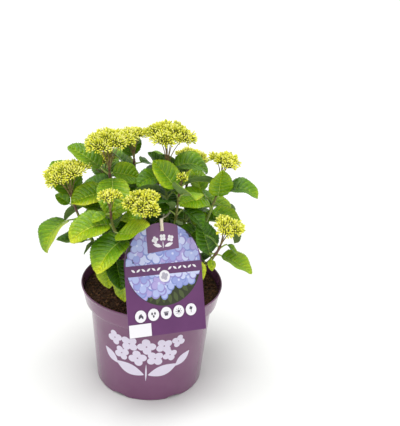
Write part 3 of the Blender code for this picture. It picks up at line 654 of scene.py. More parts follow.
def blade_point(leaf, along, across, above=0):
    """A point of a blade: along runs from its stalk (0) to its tip (1), across from edge to edge (-1 to
    1)."""
    middle, side, up = blade_frame(leaf, along)
    off = leaf.width / 2 * blade_half_width(along)
    return (
        middle
        + side * off * across * math.cos(leaf.fold)
        + up * (off * abs(across) * math.sin(leaf.fold) + above)
    )


def blade_skin(leaf):
    """Points and faces of a blade with the room kept round it. Its bent quads are split both ways, so that a
    blade split either way stays inside."""
    points, faces = [], []
    for station in range(LEAF_STATIONS + 1):
        along = station / LEAF_STATIONS
        if station in (0, LEAF_STATIONS):
            along += 0.04 * (along - 0.5)
        for across in (-1.05, 0, 1.05):
            for shift in (-1, 1):
                points.append(blade_point(leaf, along, across, shift * (CLEARANCE + LEAF_THICKNESS / 2)))
    for first in range(0, 6 * LEAF_STATIONS, 6):
        for a, b in ((0, 2), (2, 4), (1, 3), (3, 5), (0, 1), (4, 5)):
            quad = (first + a, first + b, first + b + 6, first + a + 6)
            faces += [quad[:3], quad[1:], (quad[0], quad[2], quad[3]), (quad[0], quad[1], quad[3])]
    return points, faces


def stalk_skin(leaf, node):
    """Points and faces of a leaf's stalk with the room kept round it."""
    stalk = leaf.base - node
    side = stalk.cross(Vector((0, 0, 1))).normalized() * (PETIOLE_RADIUS + CLEARANCE)
    rise = Vector((0, 0, PETIOLE_RADIUS + CLEARANCE))
    points = []
    for place in (node, leaf.base):
        points += [place + side - rise, place - side - rise, place - side + rise, place + side + rise]
    walls = [(a, b, b + 4, a + 4) for a, b in ((0, 1), (1, 2), (2, 3), (3, 0))]
    return points, [(0, 1, 2, 3), (4, 5, 6, 7), *walls]


class Room:
    """The room that is already taken, as trees of faces with their boxes and whose they are."""

    def __init__(self):
        self.taken = []

    def tree(self, points, faces):
        low = [min(point[i] for point in points) for i in range(3)]
        high = [max(point[i] for point in points) for i in range(3)]
        return low, high, BVHTree.FromPolygons(points, faces)

    def take(self, points, faces, whose=""):
        self.taken.append((*self.tree(points, faces), whose))

    def take_mesh(self, mesh, whose=""):
        self.take([v.co.copy() for v in mesh.vertices], [tuple(p.vertices) for p in mesh.polygons], whose)

    def is_free(self, points, faces, but=()):
        """Whether a skin meets nothing that is taken, leaving out what it may touch."""
        low, high, tree = self.tree(points, faces)
        for other_low, other_high, other, whose in self.taken:
            if whose in but or any(low[i] > other_high[i] or high[i] < other_low[i] for i in range(3)):
                continue
            if tree.overlap(other):
                return False
        return True


def facing_roll(node, heading):
    """The roll that leans a blade's face out from the middle of the plant."""
    out = math.atan2(node.y, node.x)
    return -FACING * math.sin(out - heading)


def leaf_tries(node, name, pair, twin):
    """Ways to hold a leaf, from the one it wants to ones turned, raised or smaller."""
    chance = random.Random(f"{SEED} {name} {pair} {twin}")
    shoot = SHOOTS[name]
    _, length, lift = shoot.pairs[pair]
    if (name, pair, twin) in POSED:
        (stalk_heading, stalk_rise, reach), (heading, lift, droop, roll), length = POSED[name, pair, twin]
    else:
        heading = stalk_heading = shoot.turn + 90 * pair + 180 * twin + chance.uniform(-10, 10)
        lift += chance.uniform(-8, 8)
        stalk_rise = 28 + 0.5 * lift
        droop = 45 + 12 * pair + chance.uniform(-12, 12)
        roll = math.degrees(facing_roll(node, math.radians(heading))) + chance.uniform(-8, 8)
        length *= 1 + chance.uniform(-0.07, 0.07)
        reach = max(PETIOLE * length, SHORTEST_PETIOLE)
    for share in (1, 0.86, 0.72, 0.6):
        for turn in (0, 8, -8, 18, -18, 30, -30, 44, -44):
            for raised in (0, 10, -10, 22, -22, 34):
                rise = math.radians(stalk_rise + raised / 2)
                around = heading_vector(math.radians(stalk_heading + turn))
                stalk = around * math.cos(rise) + Vector((0, 0, math.sin(rise)))
                yield Leaf(
                    base=node + stalk * reach * share * MM,
                    heading=math.radians(heading + turn),
                    lift=math.radians(lift + raised),
                    droop=math.radians(droop),
                    length=length * share * MM,
                    width=length * share * MM * LEAF_WIDTH,
                    fold=LEAF_FOLD,
                    roll=math.radians(roll),
                )


def grow_leaves(room):
    """The leaves of every shoot, in crossed pairs down its stem. The posed ones take their places first, and
    a leaf that finds no room is left out."""
    wanted = []
    for name, shoot in SHOOTS.items():
        wanted += [(name, pair, twin) for pair in range(len(shoot.pairs)) for twin in (0, 1)]
    wanted.sort(key=lambda key: key not in POSED)
    grown = {name: [] for name in SHOOTS}
    for name, pair, twin in wanted:
        node = below_top(shoot_limb(name)[0], SHOOTS[name].pairs[pair][0] * MM)
        for leaf in leaf_tries(node, name, pair, twin):
            blade, stalk = blade_skin(leaf), stalk_skin(leaf, node)
            if room.is_free(*blade) and room.is_free(*stalk, (name, f"{name} {pair}")):
                room.take(*blade)
                room.take(*stalk, f"{name} {pair}")
                grown[name].append((pair, twin, node, leaf))
                break
    return grown


def taken_room():
    """The room that the frame's hard pieces, the flower heads and the shoots take before any leaf."""
    room = Room()
    for name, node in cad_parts.items():
        if not name.startswith(("foliage_", "soil")):
            room.take_mesh(node.data)
    for name in SHOOTS:
        room.take_mesh(tube_mesh("shoot", *shoot_limb(name)), name)
    return room


# Pot and peat


def body_radius(height):
    """Outer radius of the pot's wall under the rim band."""
    return BASE_RADIUS + (BODY_RADIUS - BASE_RADIUS) * height / (POT_HEIGHT - RIM_BAND)


def arch_lift(angle):
    """How high the skirt's edge is cut away at an angle round the pot."""
    turn = (angle - FIRST_ARCH) % (2 * math.pi / ARCHES)
    across = min(turn, 2 * math.pi / ARCHES - turn) * BASE_RADIUS / (ARCH_WIDTH / 2)
    return ARCH_HEIGHT * math.sqrt(1 - across**2) if across < 1 else 0


def make_pot():
    """Moulded pot: a rolled lip, a band with a rounded foot, a tapering wall, and a skirt with drainage
    arches. Its inner wall shows above the peat."""
    foot = POT_HEIGHT - RIM_BAND
    floor = 8 * MM
    flare = RIM_RADIUS - RIM_FOOT_RADIUS
    underside = [(0, 0), (PLATE_RADIUS, 0), (PLATE_RADIUS + 0.8 * MM, CHANNEL_DEPTH)]
    skirt = [
        (BASE_RADIUS - SKIRT, CHANNEL_DEPTH),
        (BASE_RADIUS - SKIRT, 0.4 * MM),
        (BASE_RADIUS - SKIRT + 0.5 * MM, 0),
        (BASE_RADIUS - 1.4 * MM, 0),
        (BASE_RADIUS - 0.5 * MM, 0.5 * MM),
    ]
    wall = [(body_radius(height), height) for height in (1.6 * MM, 4 * MM, 5 * MM, 6 * MM, 8 * MM)]
    wall += [(body_radius(height * MM), height * MM) for height in range(16, 142, 14)]
    band = [
        (BODY_RADIUS, foot - 1.5 * MM),
        (BODY_RADIUS + 0.5 * MM, foot - 0.4 * MM),
        (BODY_RADIUS + 1.4 * MM, foot),
        (RIM_FOOT_RADIUS - 1.6 * MM, foot),
        (RIM_FOOT_RADIUS - 0.5 * MM, foot + 0.5 * MM),
    ]
    for share in (0.05, 0.2, 0.4, 0.6, 0.8, 0.9):
        band.append((RIM_FOOT_RADIUS + (flare - 0.6 * MM) * share, foot + RIM_BAND * share))
    lip = [
        (RIM_RADIUS - 0.3 * MM, POT_HEIGHT - 3 * MM),
        (RIM_RADIUS, POT_HEIGHT - 1.8 * MM),
        (RIM_RADIUS - 0.3 * MM, POT_HEIGHT - 0.6 * MM),
        (RIM_RADIUS - 1 * MM, POT_HEIGHT),
        (RIM_RADIUS - 1.9 * MM, POT_HEIGHT - 0.3 * MM),
        (RIM_RADIUS - 2.3 * MM, POT_HEIGHT - 1.4 * MM),
    ]
    inside = []
    for share in (0.9, 0.7, 0.4, 0.1):
        inside.append((RIM_FOOT_RADIUS - WALL + (flare - 0.8 * MM) * share, foot + RIM_BAND * share))
    inside += [(BODY_RADIUS - WALL, foot + WALL), (body_radius(floor) - WALL, floor), (0, floor)]
    mesh = turned("pot_shell", underside + skirt + wall + band + lip + inside, 180)
    for vert in mesh.vertices:
        radius = math.hypot(vert.co.x, vert.co.y)
        if radius > BASE_RADIUS - SKIRT - 0.1 * MM and vert.co.z < CHANNEL_DEPTH - 0.2 * MM:
            lift = arch_lift(math.atan2(vert.co.y, vert.co.x))
            vert.co.z = max(vert.co.z, lift)
    # Moulded polypropylene has an even colour. Its mould was smooth, which gives a thin, clear shine over
    # the duller plastic, with soft, broad highlights.
    plastic = speckled(
        "moulded_polypropylene",
        ("#6f4064", "#75466a"),
        40 * MM,
        0.24,
        0.02 * MM,
        0.9 * MM,
        IOR=1.49,
        Coat_Weight=0.35,
        Coat_Roughness=0.12,
    )
    piece("pot_shell", mesh, [plastic], ["pot"])


def round_patch(width, height, place, segments=10):
    """A flat oval of quads in the XY plane, made from a grid, so that it can follow a curved wall."""
    bm = bmesh.new()
    bmesh.ops.create_grid(bm, x_segments=segments, y_segments=segments, size=1)
    for vert in bm.verts:
        x, y = vert.co.x, vert.co.y
        vert.co = (x * math.sqrt(1 - y * y / 2) * width / 2, y * math.sqrt(1 - x * x / 2) * height / 2, 0)
    bmesh.ops.transform(bm, matrix=place, verts=bm.verts)
    return bm


def floret_patches(x, y, size, turn, segments=10):
    """A flat floret: four rounded petals round a middle, as oval patches."""
    made = []
    for index in range(4):
        place = (
            Matrix.Translation((x, y, 0))
            @ Matrix.Rotation(turn + index * math.pi / 2, 4, "Z")
            @ Matrix.Translation((size * 0.3, 0, 0))
        )
        made.append(mesh_from(round_patch(size * 0.52, size * 0.5, place, segments), "petal"))
    return made


def leaf_patch(x, y, length, width, turn):
    """A flat pointed leaf."""
    bm = round_patch(length, width, Matrix())
    for vert in bm.verts:
        vert.co.y *= 1 - (2 * vert.co.x / length) ** 2 * 0.6
    place = Matrix.Translation((x, y, 0)) @ Matrix.Rotation(turn, 4, "Z")
    bmesh.ops.transform(bm, matrix=place, verts=bm.verts)
    return mesh_from(bm, "leaf_print")


def make_pot_print():
    """A plain flower spray printed on the pot's front in one pale ink: two rows of florets over a stem with
    leaves."""
    patches = []
    for x, y, size, turn in (
        (-54, 116, 24, 0.3),
        (-28, 112, 27, 0.9),
        (0, 110, 27, 0.1),
        (28, 111, 25, 0.6),
        (52, 116, 21, 1.2),
        (-41, 90, 24, 0.5),
        (-14, 86, 27, 0.2),
        (14, 87, 26, 0.7),
        (38, 92, 22, 0.4),
    ):
        patches += floret_patches(x * MM, y * MM, size * MM, turn)
    for side in (-1, 1):
        patches.append(leaf_patch(side * 27 * MM, 62 * MM, 50 * MM, 20 * MM, side * 0.35))
        patches.append(leaf_patch(side * 61 * MM, 78 * MM, 34 * MM, 15 * MM, side * 0.7))
    patches.append(leaf_patch(0, 58 * MM, 34 * MM, 2.6 * MM, math.pi / 2))
    mesh = joined(patches, "pot_print")
    for vert in mesh.vertices:
        height = vert.co.y
        radius = body_radius(height) + PRINT_LIFT
        angle = POT_PRINT_HEADING + vert.co.x / radius
        vert.co = (radius * math.cos(angle), radius * math.sin(angle), height)
    bm = bmesh.new()
    bm.from_mesh(mesh)
    bmesh.ops.solidify(bm, geom=bm.faces[:], thickness=PRINT_LIFT)
    bmesh.ops.recalc_face_normals(bm, faces=bm.faces)
    # A thin even ink, duller than the plastic under it
    ink = plain("pale_printing_ink", "#dad2e4", 0.45)
    piece("pot_print", mesh_from(bm, "pot_print"), [ink], flat=True)


def make_peat():
    """Damp peat: a lumpy surface, crumbs of many sizes and a few flakes of bark."""
    chance = random.Random(3)
    bm = bmesh.new()
    bmesh.ops.create_grid(bm, x_segments=110, y_segments=110, size=1)
    reach = RIM_FOOT_RADIUS + (RIM_RADIUS - RIM_FOOT_RADIUS) * 0.5 - WALL - 1.2 * MM
    for vert in bm.verts:
        # Lumps about a centimetre across, on swells three times as broad
        x, y = vert.co.x, vert.co.y
        flat = Vector((x * math.sqrt(1 - y * y / 2), y * math.sqrt(1 - x * x / 2), 0)) * reach
        lump = noise.fractal(flat * 90, 1.0, 2.0, 5) * 2.4 * MM + noise.noise(flat * 28) * 1.4 * MM
        dip = SOIL_DIP * (flat.length / RIM_RADIUS) ** 2
        vert.co = (flat.x, flat.y, SOIL_TOP - dip - 0.6 * MM + lump)
    rim = [edge for edge in bm.edges if edge.is_boundary]
    skirt = bmesh.ops.extrude_edge_only(bm, edges=rim)
    for element in skirt["geom"]:
        if isinstance(element, bmesh.types.BMVert):
            element.co.z = SOIL_TOP - SOIL_DIP - 5 * MM
    bmesh.ops.holes_fill(bm, edges=[edge for edge in bm.edges if edge.is_boundary], sides=0)
    bmesh.ops.recalc_face_normals(bm, faces=bm.faces)
    # Damp peat drinks the light and is nearly black in its hollows. Crumbs that have dried are paler, and
    # the flakes of bark among them are a lighter, warmer brown.
    soil = [
        speckled("damp_peat", ("#22130b", "#5a3822"), 4 * MM, 0.95, 0.6 * MM, 1.2 * MM),
        speckled("peat_crumb", ("#3a2415", "#6a452c"), 4 * MM, 0.95, 0.4 * MM, 1 * MM),
        speckled("bark_flake", ("#65432d", "#85603f"), 4 * MM, 0.9, 0.3 * MM, 1 * MM),
    ]
    piece("peat_surface", mesh_from(bm, "peat_surface"), soil[:1])
    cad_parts["soil"].data.materials.clear()
    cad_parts["soil"].data.materials.append(soil[0])
    bm = bmesh.new()
    bmesh.ops.create_icosphere(bm, subdivisions=1, radius=1)
    for vert in bm.verts:
        vert.co *= chance.uniform(0.75, 1.15)
    crumb = mesh_from(bm, "crumb")
    places, slots = [], []
    for _ in range(CRUMBS):
        size = chance.choice(CRUMB_SIZES) * MM
        radius = (reach - 1.8 * size) * math.sqrt(chance.random())
        angle = chance.uniform(0, 2 * math.pi)
        height = SOIL_TOP - SOIL_DIP * (radius / RIM_RADIUS) ** 2 + chance.uniform(-0.5, 1.2) * MM
        turn = Matrix.Rotation(chance.uniform(0, 6.28), 4, chance.choice("XYZ"))
        scale = Matrix.Diagonal((size * chance.uniform(0.7, 1.6), size, size * chance.uniform(0.5, 1), 1))
        middle = heading_vector(angle) * radius + Vector((0, 0, height))
        places.append(Matrix.Translation(middle) @ turn @ scale)
        slots.append(chance.choice((0, 0, 0, 1)))
    piece("peat_crumbs", repeated("peat_crumbs", crumb, places, slots), soil[1:])


# Label


def card_place():
    """Where the label stands: turned, leaning back, and slid along its own face until it meets the rim."""
    turn = Matrix.Rotation(CARD_YAW, 3, "Z") @ Matrix.Rotation(CARD_LEAN, 3, "X")
    turn = turn @ Matrix.Rotation(CARD_SPIN, 3, "Y")
    back = turn @ Vector((0, 1, 0))
    across = math.hypot(back.x, back.y)
    rim = ((RIM_RADIUS - LIP, POT_HEIGHT), (RIM_RADIUS, POT_HEIGHT - LIP))
    reach = min(height * back.z - radius * across for radius, height in rim)
    foot = Vector(CARD_FOOT)
    foot += back * (reach - GAP - CARD_THICKNESS / 2 - foot.dot(back))
    return Matrix.Translation(foot) @ turn.to_4x4()


def card_hole():
    """The middle of the label's hole."""
    return card_place() @ Vector((0, 0, CARD_SIDE + CARD_WIDTH / 2 - HOLE_BELOW_TOP))


def tie_path(stem):
    """A closed loop of string: through the label's hole, over its top edge, and round a stem behind it."""
    hole = card_hole()
    turn = card_place().to_3x3()
    up, back = turn @ Vector((0, 0, 1)), turn @ Vector((0, 1, 0))
    run = stem - hole
    side = run.cross(Vector((0, 0, 1))).normalized()
    ahead = run.normalized()
    clear = SHOOT_FOOT_RADIUS + TIE_RADIUS + 2 * GAP
    over = up * (HOLE_BELOW_TOP + 2.5 * MM)
    anchors = [
        hole - back * 2.2 * MM,
        hole - back * 2.4 * MM + up * 0.6 * HOLE_BELOW_TOP,
        hole + over - back * 0.6 * MM,
        hole + over * 0.4 + run * 0.5 + side * 2.6 * MM + Vector((0, 0, 2 * MM)),
        stem + side * clear - ahead * 1.5 * MM,
        stem + ahead * clear * 0.72 + side * clear * 0.72,
        stem + ahead * clear * 0.72 - side * clear * 0.72,
        stem - side * clear - ahead * 1.5 * MM,
        hole + run * 0.5 - side * 2.6 * MM - Vector((0, 0, 2 * MM)),
        hole + back * 2.6 * MM,
    ]
    return closed_curve(anchors, 2)


def on_card(meshes, name, layer):
    """Flat shapes on the label's face (X across, Y up from its lower edge), as a thin closed layer of ink
    that stands so many lifts off it."""
    bm = bmesh.new()
    for mesh in meshes:
        bm.from_mesh(mesh)
        bpy.data.meshes.remove(mesh)
    behind = bmesh.ops.extrude_face_region(bm, geom=bm.faces[:], use_keep_orig=True)["geom"]
    lower = [element for element in behind if isinstance(element, bmesh.types.BMVert)]
    bmesh.ops.translate(bm, vec=(0, 0, -INK_THICKNESS), verts=lower)
    bmesh.ops.recalc_face_normals(bm, faces=bm.faces)
    mesh = mesh_from(bm, name)
    mesh.transform(Matrix.Rotation(math.pi / 2, 4, "X"))
    mesh.transform(Matrix.Translation((0, -CARD_THICKNESS / 2 - layer * PRINT_LIFT, 0)))
    mesh.transform(card_place())
    return mesh


def outline_patch(points):
    """A flat face with an outline of (x, y) points, facing +Z."""
    bm = bmesh.new()
    face = bm.faces.new([bm.verts.new((x, y, 0)) for x, y in points])
    face.normal_update()
    if face.normal.z < 0:
        face.normal_flip()
    return mesh_from(bm, "patch")


def box_patch(left, bottom, right, top):
    """A flat upright oblong."""
    return outline_patch([(left, bottom), (right, bottom), (right, top), (left, top)])


def disc_patch(x, y, radius, steps=40):
    """A flat disc."""
    bm = bmesh.new()
    bmesh.ops.create_circle(
        bm, cap_ends=True, segments=steps, radius=radius, matrix=Matrix.Translation((x, y, 0))
    )
    return mesh_from(bm, "disc")


def inked(mesh, ink):
    """A flat shape that takes one of its piece's inks."""
    for polygon in mesh.polygons:
        polygon.material_index = ink
    return mesh


def card_outline():
    """The label's outline: square below, a half round above."""
    steps = 64
    half = CARD_WIDTH / 2
    points = [(-half, 0), (half, 0)]
    for step in range(steps + 1):
        angle = math.pi * step / steps
        points.append((half * math.cos(angle), CARD_SIDE + half * math.sin(angle)))
    return points


def make_card():
    """The label: a stiff card with a round top and a hole, printed with a round picture, a tag with a sprig,
    a band with a row of leaves, a floret on a white disc, a row of care signs, and a blank sticker."""
    hole_y = CARD_SIDE + CARD_WIDTH / 2 - HOLE_BELOW_TOP
    bm = bmesh.new()
    outline = [bm.verts.new((x, y, 0)) for x, y in card_outline()]
    hole = []
    for step in range(24):
        angle = 2 * math.pi * step / 24
        hole.append(bm.verts.new((HOLE_RADIUS * math.cos(angle), hole_y + HOLE_RADIUS * math.sin(angle), 0)))
    edges = [bm.edges.new(pair) for ring in (outline, hole) for pair in zip(ring, ring[1:] + ring[:1])]
    bmesh.ops.triangle_fill(bm, use_beauty=True, use_dissolve=False, edges=edges)
    bmesh.ops.solidify(bm, geom=bm.faces[:], thickness=CARD_THICKNESS)
    bmesh.ops.recalc_face_normals(bm, faces=bm.faces)
    card = mesh_from(bm, "label")
    low = min(vert.co.z for vert in card.vertices)
    card.transform(Matrix.Translation((0, 0, -low - CARD_THICKNESS / 2)))
    card.transform(card_place() @ Matrix.Rotation(math.pi / 2, 4, "X"))
    # Card printed all over and coated has an even deep purple and a low gloss
    purple = speckled("gloss_coated_card", ("#5a2a5d", "#613063"), 30 * MM, 0.35, 0.01 * MM, 1 * MM)
    piece("label", card, [purple], ["label_card"], flat=True)
    make_picture()
    # Thin even inks under the same coat, a little duller than the bare card. The tag's ink is the band's
    # purple painted lighter, as painted light that makes up for the leaves' shadow on the tag.
    band_inks = [plain("tag_ink_painted_lighter", "#704b70", 0.4), plain("purple_ink", "#5f3662", 0.4)]
    white = plain("white_ink", "#e4e2e6", 0.45)
    sign_inks = [plain("grey_ink", "#4a4452", 0.4), plain("pale_grey_ink", "#aeaab8", 0.4)]
    band = on_card([tag_patch(), inked(box_patch(*BAND), 1)], "label_band", 9)
    piece("label_band", band, band_inks, flat=True)
    discs = [disc_patch(*SEAL, SEAL_RADIUS)] + [disc_patch(x, y, SIGN_RADIUS) for x, y in sign_middles()]
    white_print = on_card([*discs, box_patch(*STICKER), *sprigs()], "label_white_print", 10)
    piece("label_white_print", white_print, [white], flat=True)
    seal = [inked(patch, 1) for patch in floret_patches(*SEAL, 11 * MM, 0.4)]
    piece("label_signs", on_card(care_signs() + seal, "label_signs", 11), sign_inks, flat=True)


# Inks of the petals in the label's picture: two for their edges, then four for their middles
PETAL_INKS = (
    ("petal_deep_blue_ink", "#808cc6"),
    ("petal_violet_ink", "#8f86c1"),
    ("petal_blue_ink", "#929cd2"),
    ("petal_pale_blue_ink", "#aab4de"),
    ("petal_lilac_ink", "#ab9fd2"),
    ("petal_ice_ink", "#c4cae8"),
)


def picture_floret(x, y, rise, chance):
    """A floret of the picture: petals with deep edges and pale middles round a small eye, each part with its
    own ink and height. What would reach past the picture is drawn in to its edge."""
    size, turn = chance.uniform(23, 29) * MM, chance.uniform(0, 1.6)
    edge, inner = chance.randrange(2), 2 + chance.randrange(4)
    own = [inner if chance.random() < 0.75 else 2 + chance.randrange(4) for _ in range(4)]
    layers = [*zip([edge] * 4, (0, 1, 2, 3), floret_patches(x, y, size, turn, 7))]
    layers += zip(own, (0.5, 1.5, 2.5, 3.5), floret_patches(x, y, size * 0.84, turn, 7))
    layers.append((5, 4.5, disc_patch(x, y, size * 0.08, 10)))
    bound = PICTURE_RADIUS - 0.5 * MM
    parts = []
    for ink, order, patch in layers:
        lift = (rise + 0.1 * order) * PRINT_LIFT
        for vert in patch.vertices:
            dx, dy = vert.co.x, vert.co.y - PICTURE_MIDDLE
            inward = min(1, bound / math.hypot(dx, dy))
            vert.co = (dx * inward, PICTURE_MIDDLE + dy * inward, lift)
        parts.append(inked(patch, ink))
    return parts


def make_picture():
    """The label's round picture: blue florets over dark leaves."""
    chance = random.Random(11)
    # Inks of a printed picture are thin, even and slightly dull
    greens = [plain("picture_dark_green_ink", "#2b3218", 0.4), plain("picture_leaf_ink", "#46522a", 0.4)]
    petal_inks = [plain(name, colour, 0.4) for name, colour in PETAL_INKS]
    ground = disc_patch(0, PICTURE_MIDDLE, PICTURE_RADIUS, 72)
    piece("label_ground", on_card([ground], "label_ground", 1), greens[:1], flat=True)
    leaves = []
    for index in range(14):
        angle = math.radians(200 + index * 11)
        radius = chance.uniform(50, 56) * MM
        x, y = radius * math.cos(angle), PICTURE_MIDDLE + radius * math.sin(angle)
        leaves.append(leaf_patch(x, y, 16 * MM, 7 * MM, angle))
    piece("label_leaves", on_card(leaves, "label_leaves", 2), greens[1:], flat=True)
    florets = []
    for row in range(9):
        for column in range(9):
            x = (column - 4 + (row % 2) / 2) * FLORET_SPACING + chance.uniform(-3, 3) * MM
            y = PICTURE_MIDDLE - 40 * MM + row * FLORET_SPACING * 0.86 + chance.uniform(-3, 3) * MM
            lowest = PICTURE_MIDDLE - 44 * MM + 20 * MM * max(0, x / PICTURE_RADIUS)
            if math.hypot(x, y - PICTURE_MIDDLE) <= PICTURE_RADIUS and y >= lowest:
                # Neighbours lie at different heights, so that they can overlap
                florets += picture_floret(x, y, 3 + (row % 3) * 2 + column % 2, chance)
    piece("label_florets", on_card(florets, "label_florets", 0), petal_inks, flat=True)


def sprigs():
    """A plain flower sprig for the tag and a row of small leaves for the band."""
    made = []
    for x, y, turn in ((-12, 143, 0.2), (1, 146, 0.8), (14, 144, 0.5)):
        made += floret_patches(x * MM, y * MM, 10 * MM, turn)
    for side in (-1, 1):
        made.append(leaf_patch((1 + side * 9.5) * MM, 134.5 * MM, 15 * MM, 5.5 * MM, side * 0.3))
    made.append(leaf_patch(1 * MM, 135 * MM, 11 * MM, 1.4 * MM, math.pi / 2))
    for index in range(1, 7):
        for side in (-1, 1):
            turn = 0.6 if index % 2 else -0.6
            made.append(leaf_patch(side * (index * 8.4 + 1) * MM, 99 * MM, 7.4 * MM, 3.2 * MM, turn))
    return made


def tag_patch():
    """The plain tag, which runs up to the label's round top between two upright sides."""
    left, right, half = -25.5 * MM, 27.5 * MM, CARD_WIDTH / 2 - 0.4 * MM
    start, end = math.acos(right / half), math.acos(left / half)
    points = [(left, 123.5 * MM), (right, 128 * MM)]
    for step in range(17):
        angle = start + (end - start) * step / 16
        points.append((half * math.cos(angle), CARD_SIDE + half * math.sin(angle)))
    return outline_patch(points)


def sign_middles():
    """Middles of the five discs of care signs."""
    return [((21.2 * index - 44.4) * MM, (31 + 0.4 * index) * MM) for index in range(5)]


def care_signs():
    """Small plain signs for the five discs: leaves, drops, a pot, the sun and a flower."""
    middles = sign_middles()
    signs = []
    x, y = middles[0]
    signs.append(leaf_patch(x - 1 * MM, y, 9 * MM, 4 * MM, 1.0))
    signs.append(leaf_patch(x + 2.4 * MM, y - 1 * MM, 7 * MM, 3.4 * MM, 2.0))
    x, y = middles[1]
    for dx, dy in ((-2.4, 1.6), (2.4, 1.8), (0, -2.4)):
        signs.append(leaf_patch(x + dx * MM, y + dy * MM, 4.6 * MM, 3 * MM, math.pi / 2))
    x, y = middles[2]
    pot = ((-2.4, -4), (2.4, -4), (3.4, 0), (-3.4, 0))
    signs.append(outline_patch([(x + dx * MM, y + dy * MM) for dx, dy in pot]))
    signs.append(box_patch(x - 4 * MM, y + 0.5 * MM, x + 4 * MM, y + 2 * MM))
    x, y = middles[3]
    signs.append(disc_patch(x, y, 2.2 * MM, 20))
    for index in range(8):
        angle = index * math.pi / 4
        dx, dy = 4.2 * MM * math.cos(angle), 4.2 * MM * math.sin(angle)
        signs.append(leaf_patch(x + dx, y + dy, 2.4 * MM, 1 * MM, angle))
    x, y = middles[4]
    signs.append(box_patch(x - 0.5 * MM, y - 4.5 * MM, x + 0.5 * MM, y + 2 * MM))
    signs += floret_patches(x, y + 2.4 * MM, 5 * MM, 0.4)
    return signs


def make_string():
    """Two-ply cotton string, twisted, through the label's hole and round a stem, and bound at the hole."""
    loop = tie_path(below_top(shoot_limb(TIED_SHOOT)[0], TIE_DROP))
    fine = closed_curve(loop, 24)
    count = len(fine)
    lengths = []
    for ply in (0, math.pi):
        twisted = []
        for index, point in enumerate(fine):
            along = (fine[(index + 1) % count] - fine[index - 1]).normalized()
            side = along.orthogonal().normalized()
            turn = Matrix.Rotation(ply + 2 * math.pi * PLY_TURNS * index / count, 3, along)
            twisted.append(point + turn @ side * 0.62 * TIE_RADIUS)
        lengths.append(tube_mesh("ply", twisted, [0.8 * TIE_RADIUS] * count, resolution=2, cyclic=True))
    turn = card_place().to_3x3()
    across, back, up = (turn @ Vector(axis) for axis in ((1, 0, 0), (0, 1, 0), (0, 0, 1)))
    steps = 14
    wound = []
    for step in range(BINDING_TURNS * steps + 1):
        angle = 2 * math.pi * step / steps
        rise = up * (-1.5 + BINDING_HEIGHT * step / (BINDING_TURNS * steps)) * MM
        out = across * math.cos(angle) - back * math.sin(angle)
        wound.append(card_hole() - back * 3.4 * MM + rise + out * BINDING_RADIUS * MM)
    lengths.append(tube_mesh("binding", wound, [1.1 * MM] * len(wound), resolution=2))
    # Twisted cotton is matt and off-white, with fine hairs that break up every edge of light
    cotton = speckled("twisted_cotton", ("#ded0b2", "#f3ecd8"), 1 * MM, 0.9, 0.15 * MM, 0.5 * MM)
    piece("label_string", joined(lengths, "label_string"), [cotton], ["label_tie"])


# Stems


def finer(path, radii, step):
    """A path and its radii with points every so often, smoothed through the given ones."""
    ends = [path[0] * 2 - path[1], *path, path[-1] * 2 - path[-2]]
    fine, thick = [], []
    for index in range(1, len(path)):
        before, start, end, after = ends[index - 1 : index + 3]
        count = max(1, round((end - start).length / step))
        for part in range(count):
            share = part / count
            fine.append(bezier(start, start + (end - before) / 6, end - (after - start) / 6, end, share))
            thick.append(radii[index - 1] + (radii[index] - radii[index - 1]) * share)
    return fine + [path[-1]], thick + [radii[-1]]


def roughened(mesh, size, height):
    """Pushes a mesh's points out and in along their normals, by noise that is drawn out along Z."""
    for vert in mesh.vertices:
        place = Vector((vert.co.x, vert.co.y, vert.co.z * 0.35)) / size
        vert.co += vert.normal * noise.fractal(place, 1.0, 2.0, 4) * height
    return mesh


def make_canes():
    """Woody base and canes: pale grey-brown bark that flakes in upright strips, with cut tips."""
    limbs = [tube_mesh("stem", *finer(*stump_limb(), 1.5 * MM), resolution=5)]
    for cane in CANES.values():
        limbs.append(tube_mesh("cane", *finer(*cane_limb(cane), 1.5 * MM), resolution=4))
    rough = [roughened(mesh, 3 * MM, 0.5 * MM) for mesh in limbs]
    # Dry bark is matt, and its grey-brown strips run up the stem, so the mottle is drawn out along Z
    strips = (1, 1, 0.3)
    bark = speckled("flaking_bark", ("#5d4a34", "#93805f"), 3 * MM, 0.85, 0.4 * MM, 1.2 * MM, stretch=strips)
    nodes = ["stem_base"] + [f"cane_{name}" for name in CANES]
    piece("woody_canes", joined(rough, "woody_canes"), [bark], nodes)


STEM_SHADES = (("young_green_stem", "#8ba244"), ("olive_stem", "#80803e"), ("purple_brown_stem", "#6f4c3c"))


def make_stems():
    """Soft shoots, swollen where leaves leave them: green below, then olive, and purple-brown under the
    flowers."""
    meshes = []
    for name, shoot in SHOOTS.items():
        path, radii = finer(*shoot_limb(name), 2 * MM)
        lengths = [0]
        for first, second in zip(path[::-1], path[-2::-1]):
            lengths.append(lengths[-1] + (first - second).length)
        below = lengths[::-1]
        swollen = []
        for radius, distance in zip(radii, below):
            nearest = min(abs(distance - pair[0] * MM) for pair in shoot.pairs)
            swollen.append(radius * (1 + 0.3 * math.exp(-((nearest / (3 * MM)) ** 2))))
        mesh = tube_mesh("stem", path, swollen, resolution=3)
        top = path[-1]
        chance = random.Random(f"stem {name}")
        tinge = chance.uniform(0.5, 1.2) if shoot.bloom else 0
        for polygon in mesh.polygons:
            distance = (polygon.center - top).length / MM
            polygon.material_index = 2 if distance < 18 * tinge else 1 if distance < 55 * tinge else 0
        meshes.append(mesh)
    # A young stem has a soft sheen and small dark pores, which are longer than wide
    shades = []
    for name, colour in STEM_SHADES:
        colours = (tinted(colour, 0.75), tinted(colour, 1.1))
        shades.append(speckled(name, colours, 2 * MM, 0.5, 0.1 * MM, stretch=(1, 1, 0.4)))
    piece("soft_stems", joined(meshes, "soft_stems"), shades)


# Leaves


